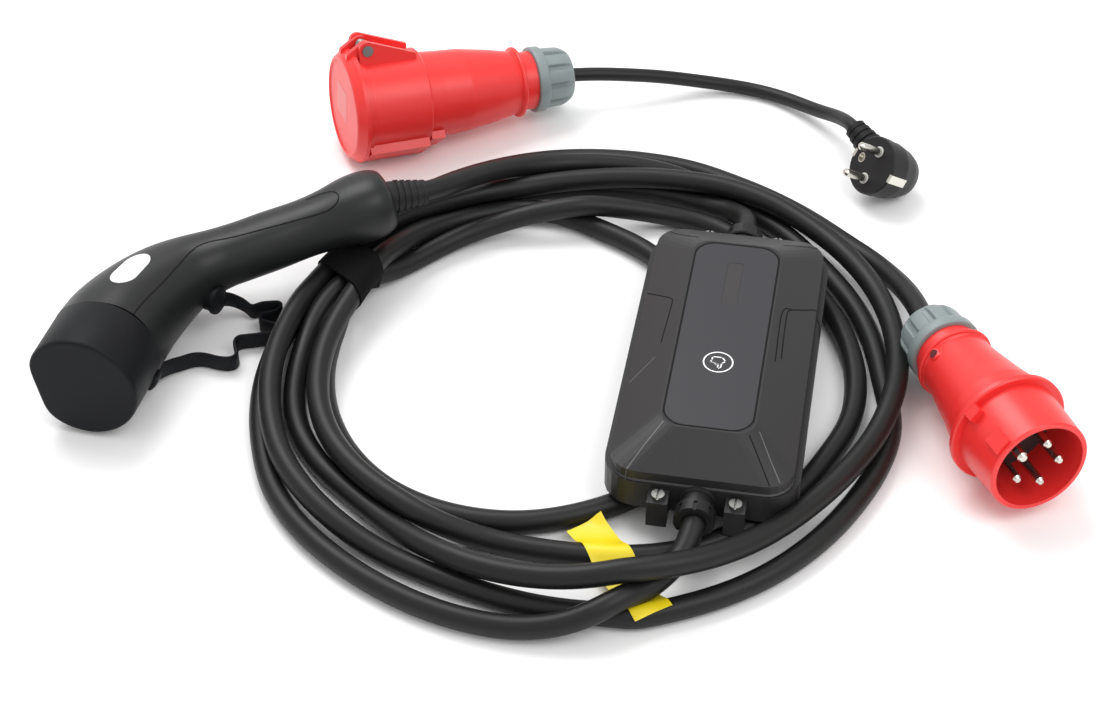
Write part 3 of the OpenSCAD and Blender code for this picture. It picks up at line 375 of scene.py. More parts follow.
# Below the control box a cable stays on the floor
def isUnderBox(point, look):
    local = boxPlace.inverted() @ point
    halfWidth, halfLength, top = look["underBox"]
    return abs(local.x) < halfWidth and abs(local.y) < halfLength and local.z < top


def shifted(routes, shifts):
    return [[p + s for p, s in zip(*pair)] for pair in zip(routes, shifts)]


# Moves cables apart where they touch. Each point has a shift from its route, and the shifts are
# smoothed along the cable in each round, so that a stretch moves together as a stiff cable would.
def settle(routes, diameter, look):
    shifts = [[Vector() for _ in route] for route in routes]
    apart = diameter * look["clearance"]
    for turn in range(look["settleRounds"]):
        late = turn / look["settleRounds"]
        lines = shifted(routes, shifts)
        places = [(c, i) for c, line in enumerate(lines) for i in range(len(line))]
        tree = KDTree(len(places))
        for k, (c, i) in enumerate(places):
            tree.insert(lines[c][i], k)
        tree.balance()
        for c, i in places:
            point = lines[c][i]
            shifts[c][i].z -= look["fall"] * (1 - late) * mm
            for other, k, gap in tree.find_range(point, apart):
                otherCable, at = places[k]
                if otherCable != c or abs(at - i) >= look["nearby"]:
                    shifts[c][i] += (point - other) * (look["push"] * (apart - gap) / gap)
        reach = look["reach"] if late < look["lateFrom"] else 1
        for c, shift in enumerate(shifts):
            last = len(shift) - 1
            shifts[c] = [(shift[max(i - reach, 0)] + 2 * shift[i] + shift[min(i + reach, last)]) / 4
                         for i in range(len(shift))]
        for route, shift in zip(routes, shifts):
            for i, point in enumerate(route):
                fromEnd = min(i, len(route) - 1 - i)
                shift[i] *= min(1, max(0, fromEnd - look["held"]) / look["ramp"])
                moved = point + shift[i]
                if isUnderBox(moved, look) or moved.z < diameter / 2:
                    shift[i].z = diameter / 2 - point.z
    return shifted(routes, shifts)


def cableCurve(name, line, diameter, look):
    data = bpy.data.curves.new(name, "CURVE")
    data.dimensions = "3D"
    data.bevel_depth = diameter / 2
    data.bevel_resolution = look["bevel"]
    data.use_fill_caps = True
    spline = data.splines.new("POLY")
    spline.points.add(len(line) - 1)
    for point, place in zip(spline.points, line):
        point.co = (*place, 1)
    spline.use_smooth = True
    obj = bpy.data.objects.new(name, data)
    bpy.context.scene.collection.objects.link(obj)
    paint(obj, "cable_jacket")
    print(name, round(lineLength(line), 3), "m")
    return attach(obj, "base")


def makeCables(look):
    diameter = look["diameter"] * mm
    routes = [layCable(farGlandTurn + innerTurn + middleTurn + outerTurn, look),
              layCable(supplyStations, look)]
    carLine, supplyLine = [throughPoints(line, lambda b, c: 2)
                           for line in settle(routes, diameter, look)]
    adapterLine = smoothLine([toFrame(p) for p in adapterRoute], look["adapterStep"],
                             look["adapterSoftness"])

    car = cableCurve("carCable", carLine, diameter, look)
    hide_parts("cable_coil", "inner_turn", "gun_lead", "box_lead")
    supply = cableCurve("supplyCable", supplyLine, diameter, look)
    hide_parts("supply_start", "supply_lead")
    adapter = cableCurve("adapterLead", adapterLine, look["leadDiameter"] * mm, look)
    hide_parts("adapter_lead")
    return carLine, supplyLine, adapterLine


carLine, supplyLine, adapterLine = makeCables(cables)
print("cables laid")


# Small helpers for meshes

def meshPiece(name, verts, faces, slotName, material=None, body="base", sharp=40):
    data = bpy.data.meshes.new(name)
    data.from_pydata([tuple(v) for v in verts], [], faces)
    data.shade_smooth()
    data.set_sharp_from_angle(angle=math.radians(sharp))
    obj = bpy.data.objects.new(name, data)
    bpy.context.scene.collection.objects.link(obj)
    paint(obj, slotName, material)
    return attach(obj, body) if body else obj


# Vertices and faces of a skin over rings of equally many points
def loft(rings, capStart=True, capEnd=True):
    count = len(rings[0])
    verts = [p for ring in rings for p in ring]
    faces = []
    for i in range(len(rings) - 1):
        for k in range(count):
            a, b = i * count + k, i * count + (k + 1) % count
            faces.append((a, b, b + count, a + count))
    if capStart:
        faces.append(tuple(range(count - 1, -1, -1)))
    if capEnd:
        faces.append(tuple(range(len(verts) - count, len(verts))))
    return verts, faces


# One more skin in the same piece
def addLoft(verts, faces, rings, **caps):
    more, moreFaces = loft(rings, **caps)
    faces += [tuple(i + len(verts) for i in f) for f in moreFaces]
    verts += more


def inwards(faces):
    return [f[::-1] for f in faces]


# A ring about an axis, so many mm up along it
def ringAbout(foot, axis, side, other, up, radius, count):
    return [foot + (axis * up + (side * math.cos(a) + other * math.sin(a)) * radius) * mm
            for a in roundAngles(count)]


# Finds the nearest place on some objects, and its normal, from a point along a direction
def surfaceOf(*names):
    trees = []
    for name in names:
        obj = bpy.data.objects[name]
        verts = [obj.matrix_world @ v.co for v in obj.data.vertices]
        faces = [tuple(p.vertices) for p in obj.data.polygons]
        trees.append(BVHTree.FromPolygons(verts, faces))

    def drop(point, direction):
        hits = [tree.ray_cast(point, direction)[:2] for tree in trees]
        hits = [(hit, normal) for hit, normal in hits if hit is not None]
        return min(hits, key=lambda h: (h[0] - point).length) if hits else None
    return drop


# A thin flat line that lies on a surface; points are pairs of place and normal, sizes in mm
def drawnLine(name, points, width, lift, slotName, material, closed=False):
    verts, faces = [], []
    count = len(points)
    for i, (place, normal) in enumerate(points):
        before = points[(i - 1) % count if closed else max(0, i - 1)][0]
        after = points[(i + 1) % count if closed else min(count - 1, i + 1)][0]
        side = normal.cross(after - before).normalized() * (width * mm / 2)
        up = normal * (lift * mm)
        verts += [place - side + up, place + side + up]
    for i in range(count if closed else count - 1):
        a, b = 2 * i, 2 * ((i + 1) % count)
        faces.append((a, b, b + 1, a + 1))
    return meshPiece(name, verts, faces, slotName, material)


# Frame pieces

plugScrewRed = Material("plugScrewRed", (0.10, 0.006, 0.006), 0.5)
# Black of the gun's seam and the panel's groove, and of the painted shade along the box cover's
# pockets
lineBlack = Material("lineBlack", (0.002, 0.002, 0.002), 0.7, ior=1.3)
for name, obj in nodes.items():
    paint(obj, slotOf[name], plugScrewRed if name == "plug_screw" else None)
print("frame painted")


# Car connector: one smooth housing over the frame's two shells

gun = {
    "sectionPower": 0.88,
    "around": 72,
    "perStation": 6,
    "frontInset": -2.2,
    "seamWidth": 0.9,
    "seamStep": 0.12,
    "seamLift": 0.12,
    "screwStations": (3, 6, 9),
    "screwSteps": [(2.0, 3.2, 2.6), (3.2, 15, 1.5)],  # from, to and radius in mm, head and shank
    "screwAround": 16,
}
# Along the connector in mm: x, y, turn, half width in the side view, half thickness
gunStations = [
    (38.6, 0, 0, 30.9, 30.9), (54, -1, -4, 30.3, 30.3), (70, -4.5, -14, 28.6, 28.4),
    (86, -10.5, -25, 26.6, 26), (100, -18, -35, 24.5, 23), (112, -27.5, -44, 21.5, 19.6),
    (121, -40, -53, 18.8, 17.4), (128.5, -53, -57, 18, 17), (138, -68, -57, 18, 17),
    (149, -85, -57, 17.5, 16.5), (157, -97.5, -57, 18.8, 17.4), (165.5, -110.5, -57, 21.6, 19.6),
    (172.5, -121.5, -57, 21.6, 19.6), (177, -128.5, -57, 18, 17), (178.5, -131, -57, 13, 12),
]
gunEnds = withEnds([Vector(p) for p in gunStations])
# Seam on the upper side: station and share of the width
seamPlaces = [
    (0, -0.78), (1.4, -0.8), (2.8, -0.78), (4.0, -0.68), (4.8, -0.52), (5.4, -0.38), (5.9, -0.36),
    (6.6, -0.44), (7.7, -0.54), (8.6, -0.62), (9.5, -0.68), (10.1, -0.68), (10.45, -0.58),
    (10.6, -0.4), (10.55, -0.2), (10.3, 0.0), (9.9, 0.1), (9.4, 0.14),
]


def bent(value, power):
    return math.copysign(abs(value) ** power, value)


# A point of the housing's skin at a station, by its angle in the section
def gunPoint(station, angle, look, grow=0.0):
    i = min(int(station), len(gunStations) - 2)
    x, y, turn, width, thick = curvePoint(*gunEnds[i:i + 4], station - i)
    turn = math.radians(turn)
    out = (width + grow) * bent(math.cos(angle), look["sectionPower"])
    up = (thick + grow) * bent(math.sin(angle), look["sectionPower"])
    return gunPlace @ (Vector((x - math.sin(turn) * out, y + math.cos(turn) * out, up)) * mm)


# A place on the upper side and its normal, by station and share of the width
def onGun(station, share, look):
    angle = math.acos(bent(share, 1 / look["sectionPower"]))
    place = gunPoint(station, angle, look)
    return place, (gunPoint(station, angle, look, 1.0) - place).normalized()


def makeGun(look):
    angles = roundAngles(look["around"])
    per = look["perStation"]
    rings = [[gunPoint(0, a, look, look["frontInset"]) for a in angles]]
    rings += [[gunPoint(k / per, a, look) for a in angles]
              for k in range((len(gunStations) - 1) * per + 1)]
    verts, faces = loft(rings, capStart=False)
    housing = meshPiece("gunHousing", verts, inwards(faces), "gun_shell", sharp=50)
    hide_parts("gun_cover", "gun_grip")

    seam = smoothLine([(*place, 0) for place in seamPlaces], look["seamStep"])
    drawnLine("gunSeam", [onGun(s, share, look) for s, share, _ in seam], look["seamWidth"],
              look["seamLift"], "black_plastic", lineBlack)

    # Screws join the shells from below, flush under the skin
    verts, faces = [], []
    for station in look["screwStations"]:
        x, y, turn, width, _ = gunStations[station]
        base = gunPlace @ Matrix.Translation(Vector((x, y, 0)) * mm)
        base = base @ Matrix.Rotation(math.radians(turn), 4, "Z")
        for top, bottom, radius in look["screwSteps"]:
            addLoft(verts, faces, [
                [base @ (Vector((radius * math.cos(a), depth - width, radius * math.sin(a))) * mm)
                 for a in roundAngles(look["screwAround"])] for depth in (top, bottom)])
    screws = meshPiece("gunScrews", verts, faces, "screw_steel")
    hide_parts("gun_screws")


makeGun(gun)


# Dust cap: rounded where the frame's is sharp

cap = {
    "radius": 32.5,
    "flat": 27.6,
    "depth": 38.0,
    "front": 3.0,
    "wall": 3.7,
    "around": 96,
    "cornerRounds": 9,
    # From the front, in mm: depth and share of the full size
    "frontSections": [(0.0, 0.90), (0.0, 0.955), (0.25, 0.972), (0.9, 0.987), (2.0, 0.997),
                      (3.2, 1.0)],
    "rim": (0.8, 0.985),
    "tabAngle": 220.0,
    "tabWidth": 13.0,
    "tabHeight": 2.6,
    "tabAround": 20,
    "tabSections": [(-9.5, 0.6), (-8.7, 0.9), (-7.5, 1.0), (-2.5, 1.0), (-1.3, 0.9), (-0.5, 0.6)],
}


# A circle with one flat side, the flat's corners rounded
def keyedOutline(radius, flat, look):
    points = []
    for a in roundAngles(look["around"]):
        y, z = radius * math.cos(a), radius * math.sin(a)
        points.append(Vector((0, flat, flat * math.tan(a)) if y > flat - 0.001 else (0, y, z)))
    for _ in range(look["cornerRounds"]):
        points = [(a + 2 * b + c) / 4
                  for a, b, c in zip(points[-1:] + points, points, points[1:] + points[:1])]
    return points


def makeCap(look):
    depth, wall = look["depth"], look["wall"]
    outline = keyedOutline(look["radius"], look["flat"], look)
    inner = keyedOutline(look["radius"] - wall, look["flat"] - wall, look)
    back, share = look["rim"]
    sections = look["frontSections"] + [(depth - back, 1.0), (depth, share)]
    rings = [[gunPlace @ (Vector((x, p.y * s, p.z * s)) * mm) for p in outline]
             for x, s in sections]
    rings += [[gunPlace @ (Vector((x, p.y, p.z)) * mm) for p in inner]
              for x in (depth, look["front"])]
    verts, faces = loft(rings)

    # Rounded tab that holds the tether, low on the side
    turned = gunPlace @ Matrix.Rotation(math.radians(look["tabAngle"]), 4, "X")
    addLoft(verts, faces, [
        [turned @ (Vector((depth + x, look["radius"] + look["tabHeight"] * grow * math.cos(a),
                           look["tabWidth"] / 2 * grow * math.sin(a))) * mm)
         for a in roundAngles(look["tabAround"])] for x, grow in look["tabSections"]])
    obj = meshPiece("dustCap", verts, faces, "cap_rubber", body="cap", sharp=35)
    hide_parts("dust_cap")


makeCap(cap)


# Badge: a plain oval plate on the housing

badge = {
    "middle": (2.38, -0.12),
    "towards": (3.4, 0.08),
    "length": 34.0,
    "width": 15.0,
    "round": 1.45,  # how long each rounded end is, as a share of half the width
    # Share of the outline and height over the skin in mm, from the foot to the middle
    "layers": [(1.0, -0.2), (1.0, 0.4), (0.96, 0.5), (0.7, 0.5), (0.4, 0.5), (0.05, 0.5)],
    "around": 64,
    "above": 0.02,  # metres over the skin, from where each point is dropped onto it
}
badgeWhite = plainMaterial("badgeWhite", (0.86, 0.86, 0.87), 0.28, 0.00002, 500.0)


def makeBadge(look):
    drop = surfaceOf("gunHousing")
    middle, normal = onGun(*look["middle"], gun)
    ahead, _ = onGun(*look["towards"], gun)
    across = normal.cross((ahead - middle).normalized()).normalized()
    along = across.cross(normal)
    endWidth = look["width"] / 2 * mm
    endLength = endWidth * look["round"]
    half = look["length"] / 2 * mm - endLength
    rings = []
    for share, lift in look["layers"]:
        ring = []
        for a in roundAngles(look["around"]):
            u = math.cos(a) * endLength + math.copysign(half, math.cos(a))
            v = math.sin(a) * endWidth
            start = middle + (along * u + across * v) * share + normal * look["above"]
            hit, _ = drop(start, -normal)
            ring.append(hit + normal * lift * mm)
        rings.append(ring)
    verts, faces = loft(rings, capStart=False)
    obj = meshPiece("gunBadge", verts, faces, "pale_seal", badgeWhite, sharp=50)
    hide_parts("gun_badge")


makeBadge(badge)


# Tether of the dust cap: a band on its edge, folded like a spring

tether = {
    "width": 10.8,
    "thickness": 1.8,
    "step": 0.0015,
    "softness": 3,
    "route": [
        (-201, 38, 26), (-197, 42, 23.5), (-192, 48, 17), (-186, 51, 10), (-182, 50, 6),
        (-178, 53, 6), (-171, 54, 6), (-165.5, 54, 6), (-165, 49, 6), (-170, 45, 6),
        (-176, 44, 6), (-176, 38, 6), (-170, 36, 6), (-165.5, 33, 6), (-166, 27, 6),
        (-173, 26, 6), (-181, 24.5, 6), (-188, 23, 6), (-189, 17, 6), (-186.5, 10, 6),
        (-189, 5, 6), (-196, 5, 6), (-205, 8, 6), (-212, 8, 6), (-218, 4.5, 6.5), (-224, 0, 8),
        (-229, -7, 10.5), (-232, -13, 12.5), (-233.5, -18, 13.8),
    ],
    # The band's section, as shares of half its thickness and half its width
    "section": [(1, -0.9), (1, 0.9), (0.5, 1), (-0.5, 1), (-1, 0.9), (-1, -0.9), (-0.5, -1),
                (0.5, -1)],
    "studRadius": 8.3,
    "studAround": 40,
    "studAxis": (0.9, -0.43, 0),
    "studSections": [(-5, 0.85), (0, 0.85), (0.8, 1.0), (2.6, 1.0), (3.4, 0.85), (3.4, 0.3)],
    "bendStart": (-190, 25, 6),
    "bendEnd": (-222, -5, 6),
}


def makeTether(look):
    line = smoothLine([toFrame(p) for p in look["route"]], look["step"], look["softness"])
    half, thick = look["width"] / 2 * mm, look["thickness"] / 2 * mm
    rings = []
    for i, place in enumerate(line):
        along = line[min(i + 1, len(line) - 1)] - line[max(i - 1, 0)]
        side = Vector((along.y, -along.x, 0)).normalized()
        rings.append([place + side * thick * u + Vector((0, 0, half * v))
                      for u, v in look["section"]])
    verts, faces = loft(rings)

    # Round stud that fixes the band to the connector
    axis = Vector(look["studAxis"]).normalized()
    side = axis.cross(Vector((0, 0, 1))).normalized()
    addLoft(verts, faces, [
        ringAbout(toFrame(look["route"][0]), axis, side, side.cross(axis), up,
                  look["studRadius"] * share, look["studAround"])
        for up, share in look["studSections"]])
    obj = meshPiece("capTether", verts, faces, "cap_rubber", body=None, sharp=50)
    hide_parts("cap_tether")
    toFrame(look["bendStart"])
    toFrame(look["bendEnd"])
    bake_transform(obj)


makeTether(tether)
print("car connector made")


# Strap: a webbing band drawn tight round the whole bundle

strap = {
    "outer": (-136, 87),
    "inner": (-110, 52),
    "width": 25.0,
    "thickness": 1.5,
    "gap": 0.4,
    "aroundStrand": 24,
    "steps": 8,
    "step": 0.002,
    "span": (0.045, 0.03),  # how far to each side and how high the bundle reaches, in metres
    "floor": 0.0003,
}


# Convex outline of points in a plane, counter-clockwise
def hullOf(points):
    points = sorted(set(points))

    def half(row):
        out = []
        for p in row:
            while len(out) > 1 and ((out[-1][0] - out[-2][0]) * (p[1] - out[-2][1])
                                    - (out[-1][1] - out[-2][1]) * (p[0] - out[-2][0])) <= 0:
                out.pop()
            out.append(p)
        return out[:-1]
    return half(points) + half(points[::-1])


# Where a line crosses an upright plane through middle: distance along way, and height
def crossings(line, middle, way, look):
    side = Vector((-way.y, way.x, 0))
    reach, top = look["span"]
    out = []
    for a, b in zip(line, line[1:]):
        da, db = (a - middle).dot(side), (b - middle).dot(side)
        if da * db <= 0 and da != db:
            hit = a.lerp(b, da / (da - db))
            across = (hit - middle).dot(way)
            if abs(across) < reach and hit.z < top:
                out.append((across, hit.z))
    return out


def makeStrap(look):
    outer, inner = toFrame((*look["outer"], 0)), toFrame((*look["inner"], 0))
    way = (inner - outer).normalized()
    side = Vector((-way.y, way.x, 0))
    rings = []
    for layer in (1, 0):  # the outside, then back along the inside
        grow = cables["diameter"] / 2 * mm + (look["gap"] + layer * look["thickness"]) * mm
        for k in range(look["steps"] + 1):
            share = (k / look["steps"] - 0.5) * (1 if layer else -1)
            middle = (outer + inner) / 2 + side * (share * look["width"] * mm)
            outline = hullOf([(u + grow * math.cos(a), max(z + grow * math.sin(a), look["floor"]))
                              for u, z in crossings(carLine, middle, way, look)
                              for a in roundAngles(look["aroundStrand"])])
            outline = [Vector((*p, 0)) for p in outline]
            outline = evenly(outline + outline[:1], look["step"])[:-1]
            rings.append([middle + way * p.x + Vector((0, 0, p.y)) for p in outline])
    count = min(len(r) for r in rings)
    rings = [evenly(r + r[:1], lineLength(r + r[:1]) / count)[:count] for r in rings]
    verts, faces = loft(rings + rings[:1], capStart=False, capEnd=False)
    obj = meshPiece("coilStrap", verts, faces, "webbing", sharp=60)
    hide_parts("coil_strap")


makeStrap(strap)


# Label: a plain yellow tag over the lower strands

label = {
    "route": [(13, -123), (19.5, -134), (25, -146), (31, -158), (37, -169), (43, -181), (48, -191)],
    "width": 21.5,
    "thickness": 0.35,
    "step": 0.002,
    "columns": 12,
    "lowStrand": 0.0085,  # strands with their middle below this height carry the tag
    "between": 0.006,
    "lift": 0.0004,
    "drapeRounds": 10,
}


# Heights of the tag over the strands below it, row by row along its route
def drapeLabel(look):
    line = smoothLine([toFrame((*p, 0)) for p in look["route"]], look["step"])
    radius = cables["diameter"] / 2 * mm
    carriers = [p for p in carLine + supplyLine if p.z < look["lowStrand"]]
    tree = KDTree(len(carriers))
    for k, p in enumerate(carriers):
        tree.insert((p.x, p.y, 0), k)
    tree.balance()
    columns = look["columns"]
    grid = []
    for i, place in enumerate(line):
        along = (line[min(i + 1, len(line) - 1)] - line[max(i - 1, 0)]).normalized()
        side = Vector((along.y, -along.x, 0))
        row = []
        for j in range(columns + 1):
            spot = place + side * (look["width"] * mm * (j - columns // 2) / columns)
            _, k, gap = tree.find(spot)
            height = look["between"]
            if gap < radius:
                height = carriers[k].z + math.sqrt(radius ** 2 - gap ** 2)
            row.append(Vector((spot.x, spot.y, height + look["lift"])))
        grid.append(row)
    for _ in range(look["drapeRounds"]):
        smooth = [[p.copy() for p in row] for row in grid]
        for i in range(len(grid)):
            for j in range(columns + 1):
                near = [grid[a][b].z for a, b in ((i - 1, j), (i + 1, j), (i, j - 1), (i, j + 1))
                        if 0 <= a < len(grid) and 0 <= b <= columns]
                smooth[i][j].z = max(grid[i][j].z, sum(near) / len(near))
        grid = smooth
    return grid


def makeLabel(look):
    grid = drapeLabel(look)
    rows, row = len(grid), look["columns"] + 1
    up = Vector((0, 0, look["thickness"] * mm))
    verts = [p for line in grid for p in line]
    size = len(verts)
    verts += [p + up for p in verts]
    faces = []
    for i in range(rows - 1):
        for a in range(i * row, i * row + row - 1):
            faces.append((a, a + 1, a + row + 1, a + row))
            faces.append((a + size, a + row + size, a + row + 1 + size, a + 1 + size))
    last = row - 1
    edge = (list(range(last)) + [last + row * i for i in range(rows - 1)]
            + [size - 1 - j for j in range(last)] + [row * i for i in range(rows - 1, 0, -1)])
    for a, b in zip(edge, edge[1:] + edge[:1]):
        faces.append((b, a, a + size, b + size))
    obj = meshPiece("cableLabel", verts, faces, "yellow_label", sharp=50)
    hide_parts("cable_label")


makeLabel(label)
print("strap and label made")


# Control box: lines on the moulded cover, painted shade along its pockets and painted highlights on
# its creases, and the touch symbol, in the box's own mm

boxLook = {
    "paintedShadeLine": (0.7, 0.1),  # width and height of each line
    "paintedHighlightLine": (0.6, 0.08),
    "groove": (1.1, 0.08),
    "panel": (48.6, 154.6, 12.0),  # width, length and corner of the groove round the panel
    "iconAt": (0, -25),
    "iconRadius": 8.0,
    "iconStroke": 0.8,
    "iconLift": 0.1,
    "iconAround": 48,
    "lineStep": 1.0,
    "above": 0.08,  # metres over the floor, from where each point is dropped onto the cover
}
# Painted shade: dark lines where the cover's pockets, slot and far edges fall into shade
paintedShadeLines = {
    "leftPocket": [(-48, 40), (-40, 34), (-33, 28), (-32, 22), (-33.5, -10)],
    "rightPocket": [(33.5, -12), (33, 24), (35, 31), (42, 37), (48, 42), (51, 40), (52.5, 26)],
    "rightPocketInner": [(30.5, -16), (30, 20), (31.5, 29), (35, 32)],
    "nearSlot": [(23, -78), (30, -90), (37, -102)],
    "farLeft": [(-45, 100), (-36, 92), (-24, 85)],
    "farRight": [(47, 99), (38, 95), (25, 88)],
}
# Painted highlights: pale lines where the cover's creases catch the light
paintedHighlightLines = {
    "leftCrease": [(-47, -37), (-41, -29), (-35, -21)],
    "nearLeftCrease": [(-23, -76), (-31, -89), (-39, -103)],
    "nearRightCrease": [(28, -74), (35, -87), (42, -99)],
}
# Outline of a hand with one finger pointing down, in mm from the ring's middle
hand = [
    (-3.6, 1.2), (-3.4, 4.0), (1.8, 4.0), (4.0, 1.2), (2.1, -0.8), (1.7, -4.9), (0.2, -4.9),
    (0.2, -1.6), (-0.6, -2.6), (-1.5, -2.2), (-1.5, -0.8), (-2.5, -1.4), (-3.0, -0.4),
    (-4.2, -0.4), (-3.6, 1.2),
]
# Grey of the painted highlights on the cover's creases
paintedHighlightGrey = Material("paintedHighlightGrey", (0.10, 0.10, 0.105), 0.4)
iconWhite = Material("iconWhite", (0.85, 0.85, 0.85), 0.4)


# Points of the cover straight below a line that is drawn in the box's plan
def onBox(points, look, drop):
    down = Vector((0, 0, -1))
    line = smoothLine([(x, y, 0) for x, y in points], look["lineStep"])
    found = [drop(boxPlace @ Vector((p.x * mm, p.y * mm, look["above"])), down) for p in line]
    return [hit for hit in found if hit]


def roundedRectangle(width, length, radius, steps=8):
    points = []
    for cx, cy, turn in ((1, 1, 0), (-1, 1, 90), (-1, -1, 180), (1, -1, 270)):
        for k in range(steps + 1):
            a = math.radians(turn + 90 * k / steps)
            points.append((cx * (width / 2 - radius) + radius * math.cos(a),
                           cy * (length / 2 - radius) + radius * math.sin(a)))
    return points


def makeBoxLines(look):
    drop = surfaceOf("box_cover", "box_base")
    # The dark lines are painted shade, the pale lines painted highlights
    for lines, size, material in ((paintedShadeLines, look["paintedShadeLine"], lineBlack),
                                  (paintedHighlightLines, look["paintedHighlightLine"], paintedHighlightGrey)):
        for name, points in lines.items():
            drawnLine(name, onBox(points, look, drop), *size, "black_plastic", material)

    panel = nodes["front_panel"]
    top = max((boxPlace.inverted() @ (panel.matrix_world @ v.co)).z for v in panel.data.vertices)

    def onPanel(x, y, lift=0.0):
        return boxPlace @ Vector((x * mm, y * mm, top + lift * mm))

    up = Vector((0, 0, 1))
    groove = [(onPanel(x, y), up) for x, y in roundedRectangle(*look["panel"])]
    drawnLine("panelGroove", groove, *look["groove"], "black_plastic", lineBlack, closed=True)

    cx, cy = look["iconAt"]
    radius = look["iconRadius"]
    ring = [(onPanel(radius * math.cos(a) + cx, radius * math.sin(a) + cy), up)
            for a in roundAngles(look["iconAround"])]
    drawnLine("iconRing", ring, look["iconStroke"], look["iconLift"], "pale_seal", iconWhite,
              closed=True)
    verts, faces = [], []
    for a, b in zip(hand, hand[1:]):
        a, b = Vector(a), Vector(b)
        way = (b - a).normalized() * (look["iconStroke"] / 2)
        side = Vector((-way.y, way.x))
        for p in (a - way - side, b + way - side, b + way + side, a - way + side):
            verts.append(onPanel(p.x + cx, p.y + cy, look["iconLift"]))
        faces.append(tuple(range(len(verts) - 4, len(verts))))
    meshPiece("iconHand", verts, faces, "pale_seal", iconWhite)


makeBoxLines(boxLook)
print("box detailed")


# Grey gland nuts with a collar and a slotted grip, and the beads on the red necks

glandNut = {
    # Along the nut in mm: place, radius and depth of the slots
    "sections": [
        (0.0, 17.8, 0), (0.0, 20.9, 0), (0.3, 21.3, 0), (0.8, 21.5, 0), (6.0, 21.5, 0),
        (6.6, 21.3, 0), (7.0, 20.8, 0), (7.3, 20.0, 0), (7.6, 19.9, 0.4), (8.2, 19.9, 2.0),
        (12.0, 19.7, 2.2), (18.0, 19.4, 2.1), (20.0, 19.0, 1.7), (22.0, 18.2, 1.2),
        (24.0, 17.1, 0.7), (25.4, 16.0, 0.3), (26.0, 15.2, 0),
    ],
    "bore": (26.0, 18.0),
    "boreGap": 0.3,
    "slots": 10,
    "slotWidth": 11.0,  # degrees
    "slotEdge": (1.25, 0.5),  # where a slot's side starts and how wide it is, in half widths
    "around": 240,
}
# Each nut's node, its body's place, where it starts along the body, and its cable's diameter
nuts = {
    "couplerNut": ("coupler_nut", couplerPlace, 128, cables["leadDiameter"]),
    "plugNut": ("plug_nut", plugPlace, 107, cables["diameter"]),
}
# Each bead's body, its place along it, the radius of the neck and the bead's own thickness
beads = {
    "couplerBead": (couplerPlace, 117.4, 21.4, 1.7),
    "plugBead": (plugPlace, 97.0, 21.6, 1.2),
}
beadAround = (12, 96)  # points round the bead's section, and round the neck


def nutRing(place, x, radius, depth, look):
    pitch = 360 / look["slots"]
    start, width = look["slotEdge"]
    ring = []
    for k in range(look["around"]):
        angle = 360 * k / look["around"]
        off = abs((angle + pitch / 2) % pitch - pitch / 2) / (look["slotWidth"] / 2)
        edge = min(max((start - off) / width, 0), 1)
        reach = radius - depth * edge * edge * (3 - 2 * edge)
        a = math.radians(angle)
        ring.append(place @ (Vector((x, reach * math.cos(a), reach * math.sin(a))) * mm))
    return ring


def makeNut(name, node, place, start, cableWidth, look):
    rings = [nutRing(place, start + x, radius, depth, look)
             for x, radius, depth in look["sections"]]
    bore = cableWidth / 2 + look["boreGap"]
    rings += [nutRing(place, start + x, bore, 0, look) for x in look["bore"]]
    verts, faces = loft(rings, capStart=False, capEnd=False)
    nut = meshPiece(name, verts, inwards(faces), "grey_nut", sharp=45)
    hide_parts(node)


def makeBead(name, place, x, radius, thick):
    section, neck = beadAround
    rings = []
    for a in roundAngles(section):
        out = radius + thick * math.sin(a)
        rings.append([place @ (Vector((x + thick * math.cos(a), out * math.cos(b),
                                       out * math.sin(b))) * mm) for b in roundAngles(neck)])
    verts, faces = loft(rings + rings[:1], capStart=False, capEnd=False)
    meshPiece(name, verts, inwards(faces), "red_plastic", sharp=80)


for name, sizes in nuts.items():
    makeNut(name, *sizes, glandNut)
for name, sizes in beads.items():
    makeBead(name, *sizes)


# Wall plug: pale collars round the feet of its pins

pinCollars = {
    "inner": 2.5,
    "outer": 3.5,
    "height": 0.4,
    "sunk": -0.2,
    "around": 32,
}
collarPale = plainMaterial("collarPale", (0.55, 0.55, 0.54), 0.4)


def makePinCollars(look):
    face = nodes["wall_plug_face"]
    verts, faces = [], []
    for mount in record["mounts"]:
        if not mount["name"].startswith("wall_pin"):
            continue
        axis, foot = Vector(mount["axis"]).normalized(), Vector(mount["pos_m"])
        plane = max((face.matrix_world @ v.co).dot(axis) for v in face.data.vertices)
        foot += axis * (plane - foot.dot(axis))
        side = axis.orthogonal().normalized()
        sections = ((look["sunk"], look["outer"]), (look["height"], look["outer"]),
                    (look["height"], look["inner"]), (look["sunk"], look["inner"]))
        rings = [ringAbout(foot, axis, side, axis.cross(side), up, radius, look["around"])
                 for up, radius in sections]
        addLoft(verts, faces, rings, capStart=False, capEnd=False)
    meshPiece("pinCollars", verts, faces, "pale_seal", collarPale)


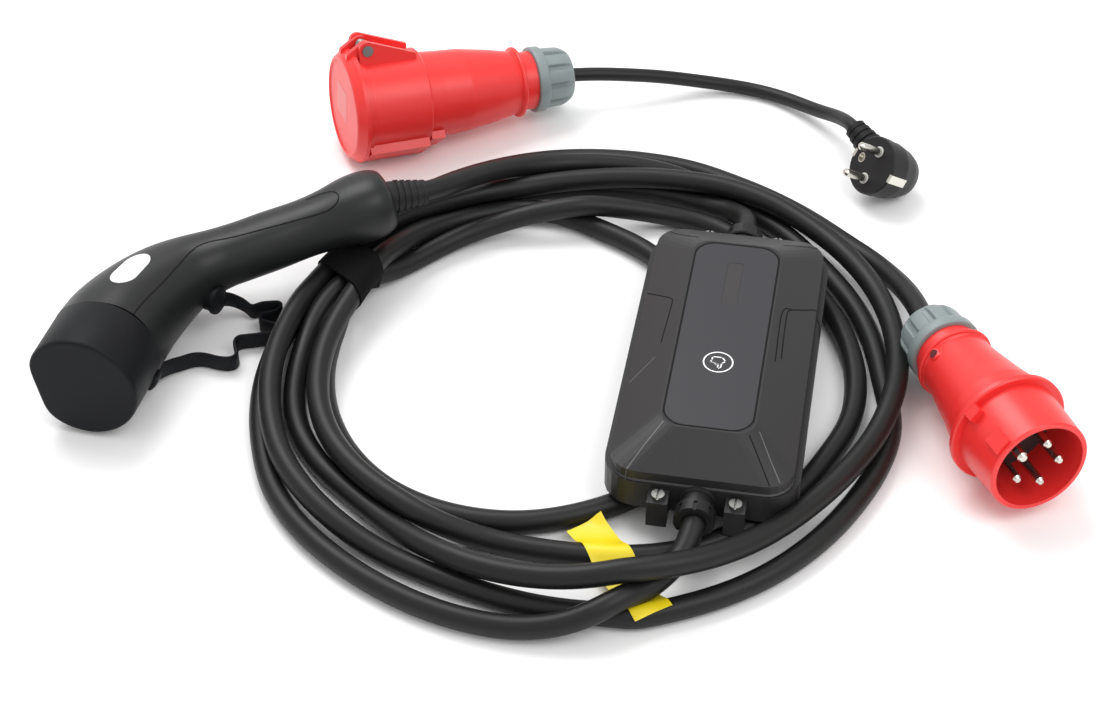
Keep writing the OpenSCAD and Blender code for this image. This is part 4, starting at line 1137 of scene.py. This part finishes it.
makePinCollars(pinCollars)
print("plugs detailed")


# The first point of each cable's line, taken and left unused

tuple(carLine[0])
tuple(supplyLine[0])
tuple(adapterLine[0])


# Coupler: the pale square on its lid

lidSquare = {
    "size": 21.0,
    "at": (4, 2),
    "turn": 12,
    "lift": 0.72,
}
lidPale = plainMaterial("lidPale", (0.76, 0.17, 0.165), 0.45)


def makeLidSquare(look):
    half, (cy, cz) = look["size"] / 2, look["at"]
    c, s = math.cos(math.radians(look["turn"])), math.sin(math.radians(look["turn"]))
    corners = [couplerPlace @ (Vector((look["lift"], cy + y * c - z * s, cz + y * s + z * c)) * mm)
               for y, z in ((-half, -half), (half, -half), (half, half), (-half, half))]
    meshPiece("lidSquare", corners, [(0, 1, 2, 3)], "red_plastic", lidPale, body="lid")


makeLidSquare(lidSquare)


# Floor and light

studio = {
    "floor": (0.95, 0.95, 0.95),
    "floorSize": 12,
    "floorDrop": 0.0002,
    "world": 0.82,
    "lamps": {  # place, size and power
        "keyLight": ((-0.5, 0.9, 1.7), 1.2, 25.0),
        "fillLight": ((0.9, -0.7, 1.5), 1.0, 10.0),
    },
}


def areaLight(name, place, size, power):
    data = bpy.data.lights.new(name, "AREA")
    data.shape = "SQUARE"
    data.size = size
    data.energy = power
    light = bpy.data.objects.new(name, data)
    light.location = place
    light.rotation_euler = (-Vector(place)).to_track_quat("-Z", "Y").to_euler()
    bpy.context.scene.collection.objects.link(light)


def makeStudio(look):
    bpy.ops.mesh.primitive_plane_add(size=look["floorSize"], location=(0, 0, -look["floorDrop"]))
    floor = bpy.context.object
    floor.name = "floor"
    floor.data.materials.append(Material("paper", look["floor"], 0.8).data)
    world = bpy.data.worlds.new("studio")
    world.use_nodes = True
    background = world.node_tree.nodes["Background"]
    background.inputs["Color"].default_value = (1, 1, 1, 1)
    background.inputs["Strength"].default_value = look["world"]
    bpy.context.scene.world = world
    for name, values in look["lamps"].items():
        areaLight(name, *values)


makeStudio(studio)
bpy.context.scene.view_settings.view_transform = "Standard"
print("studio lit")
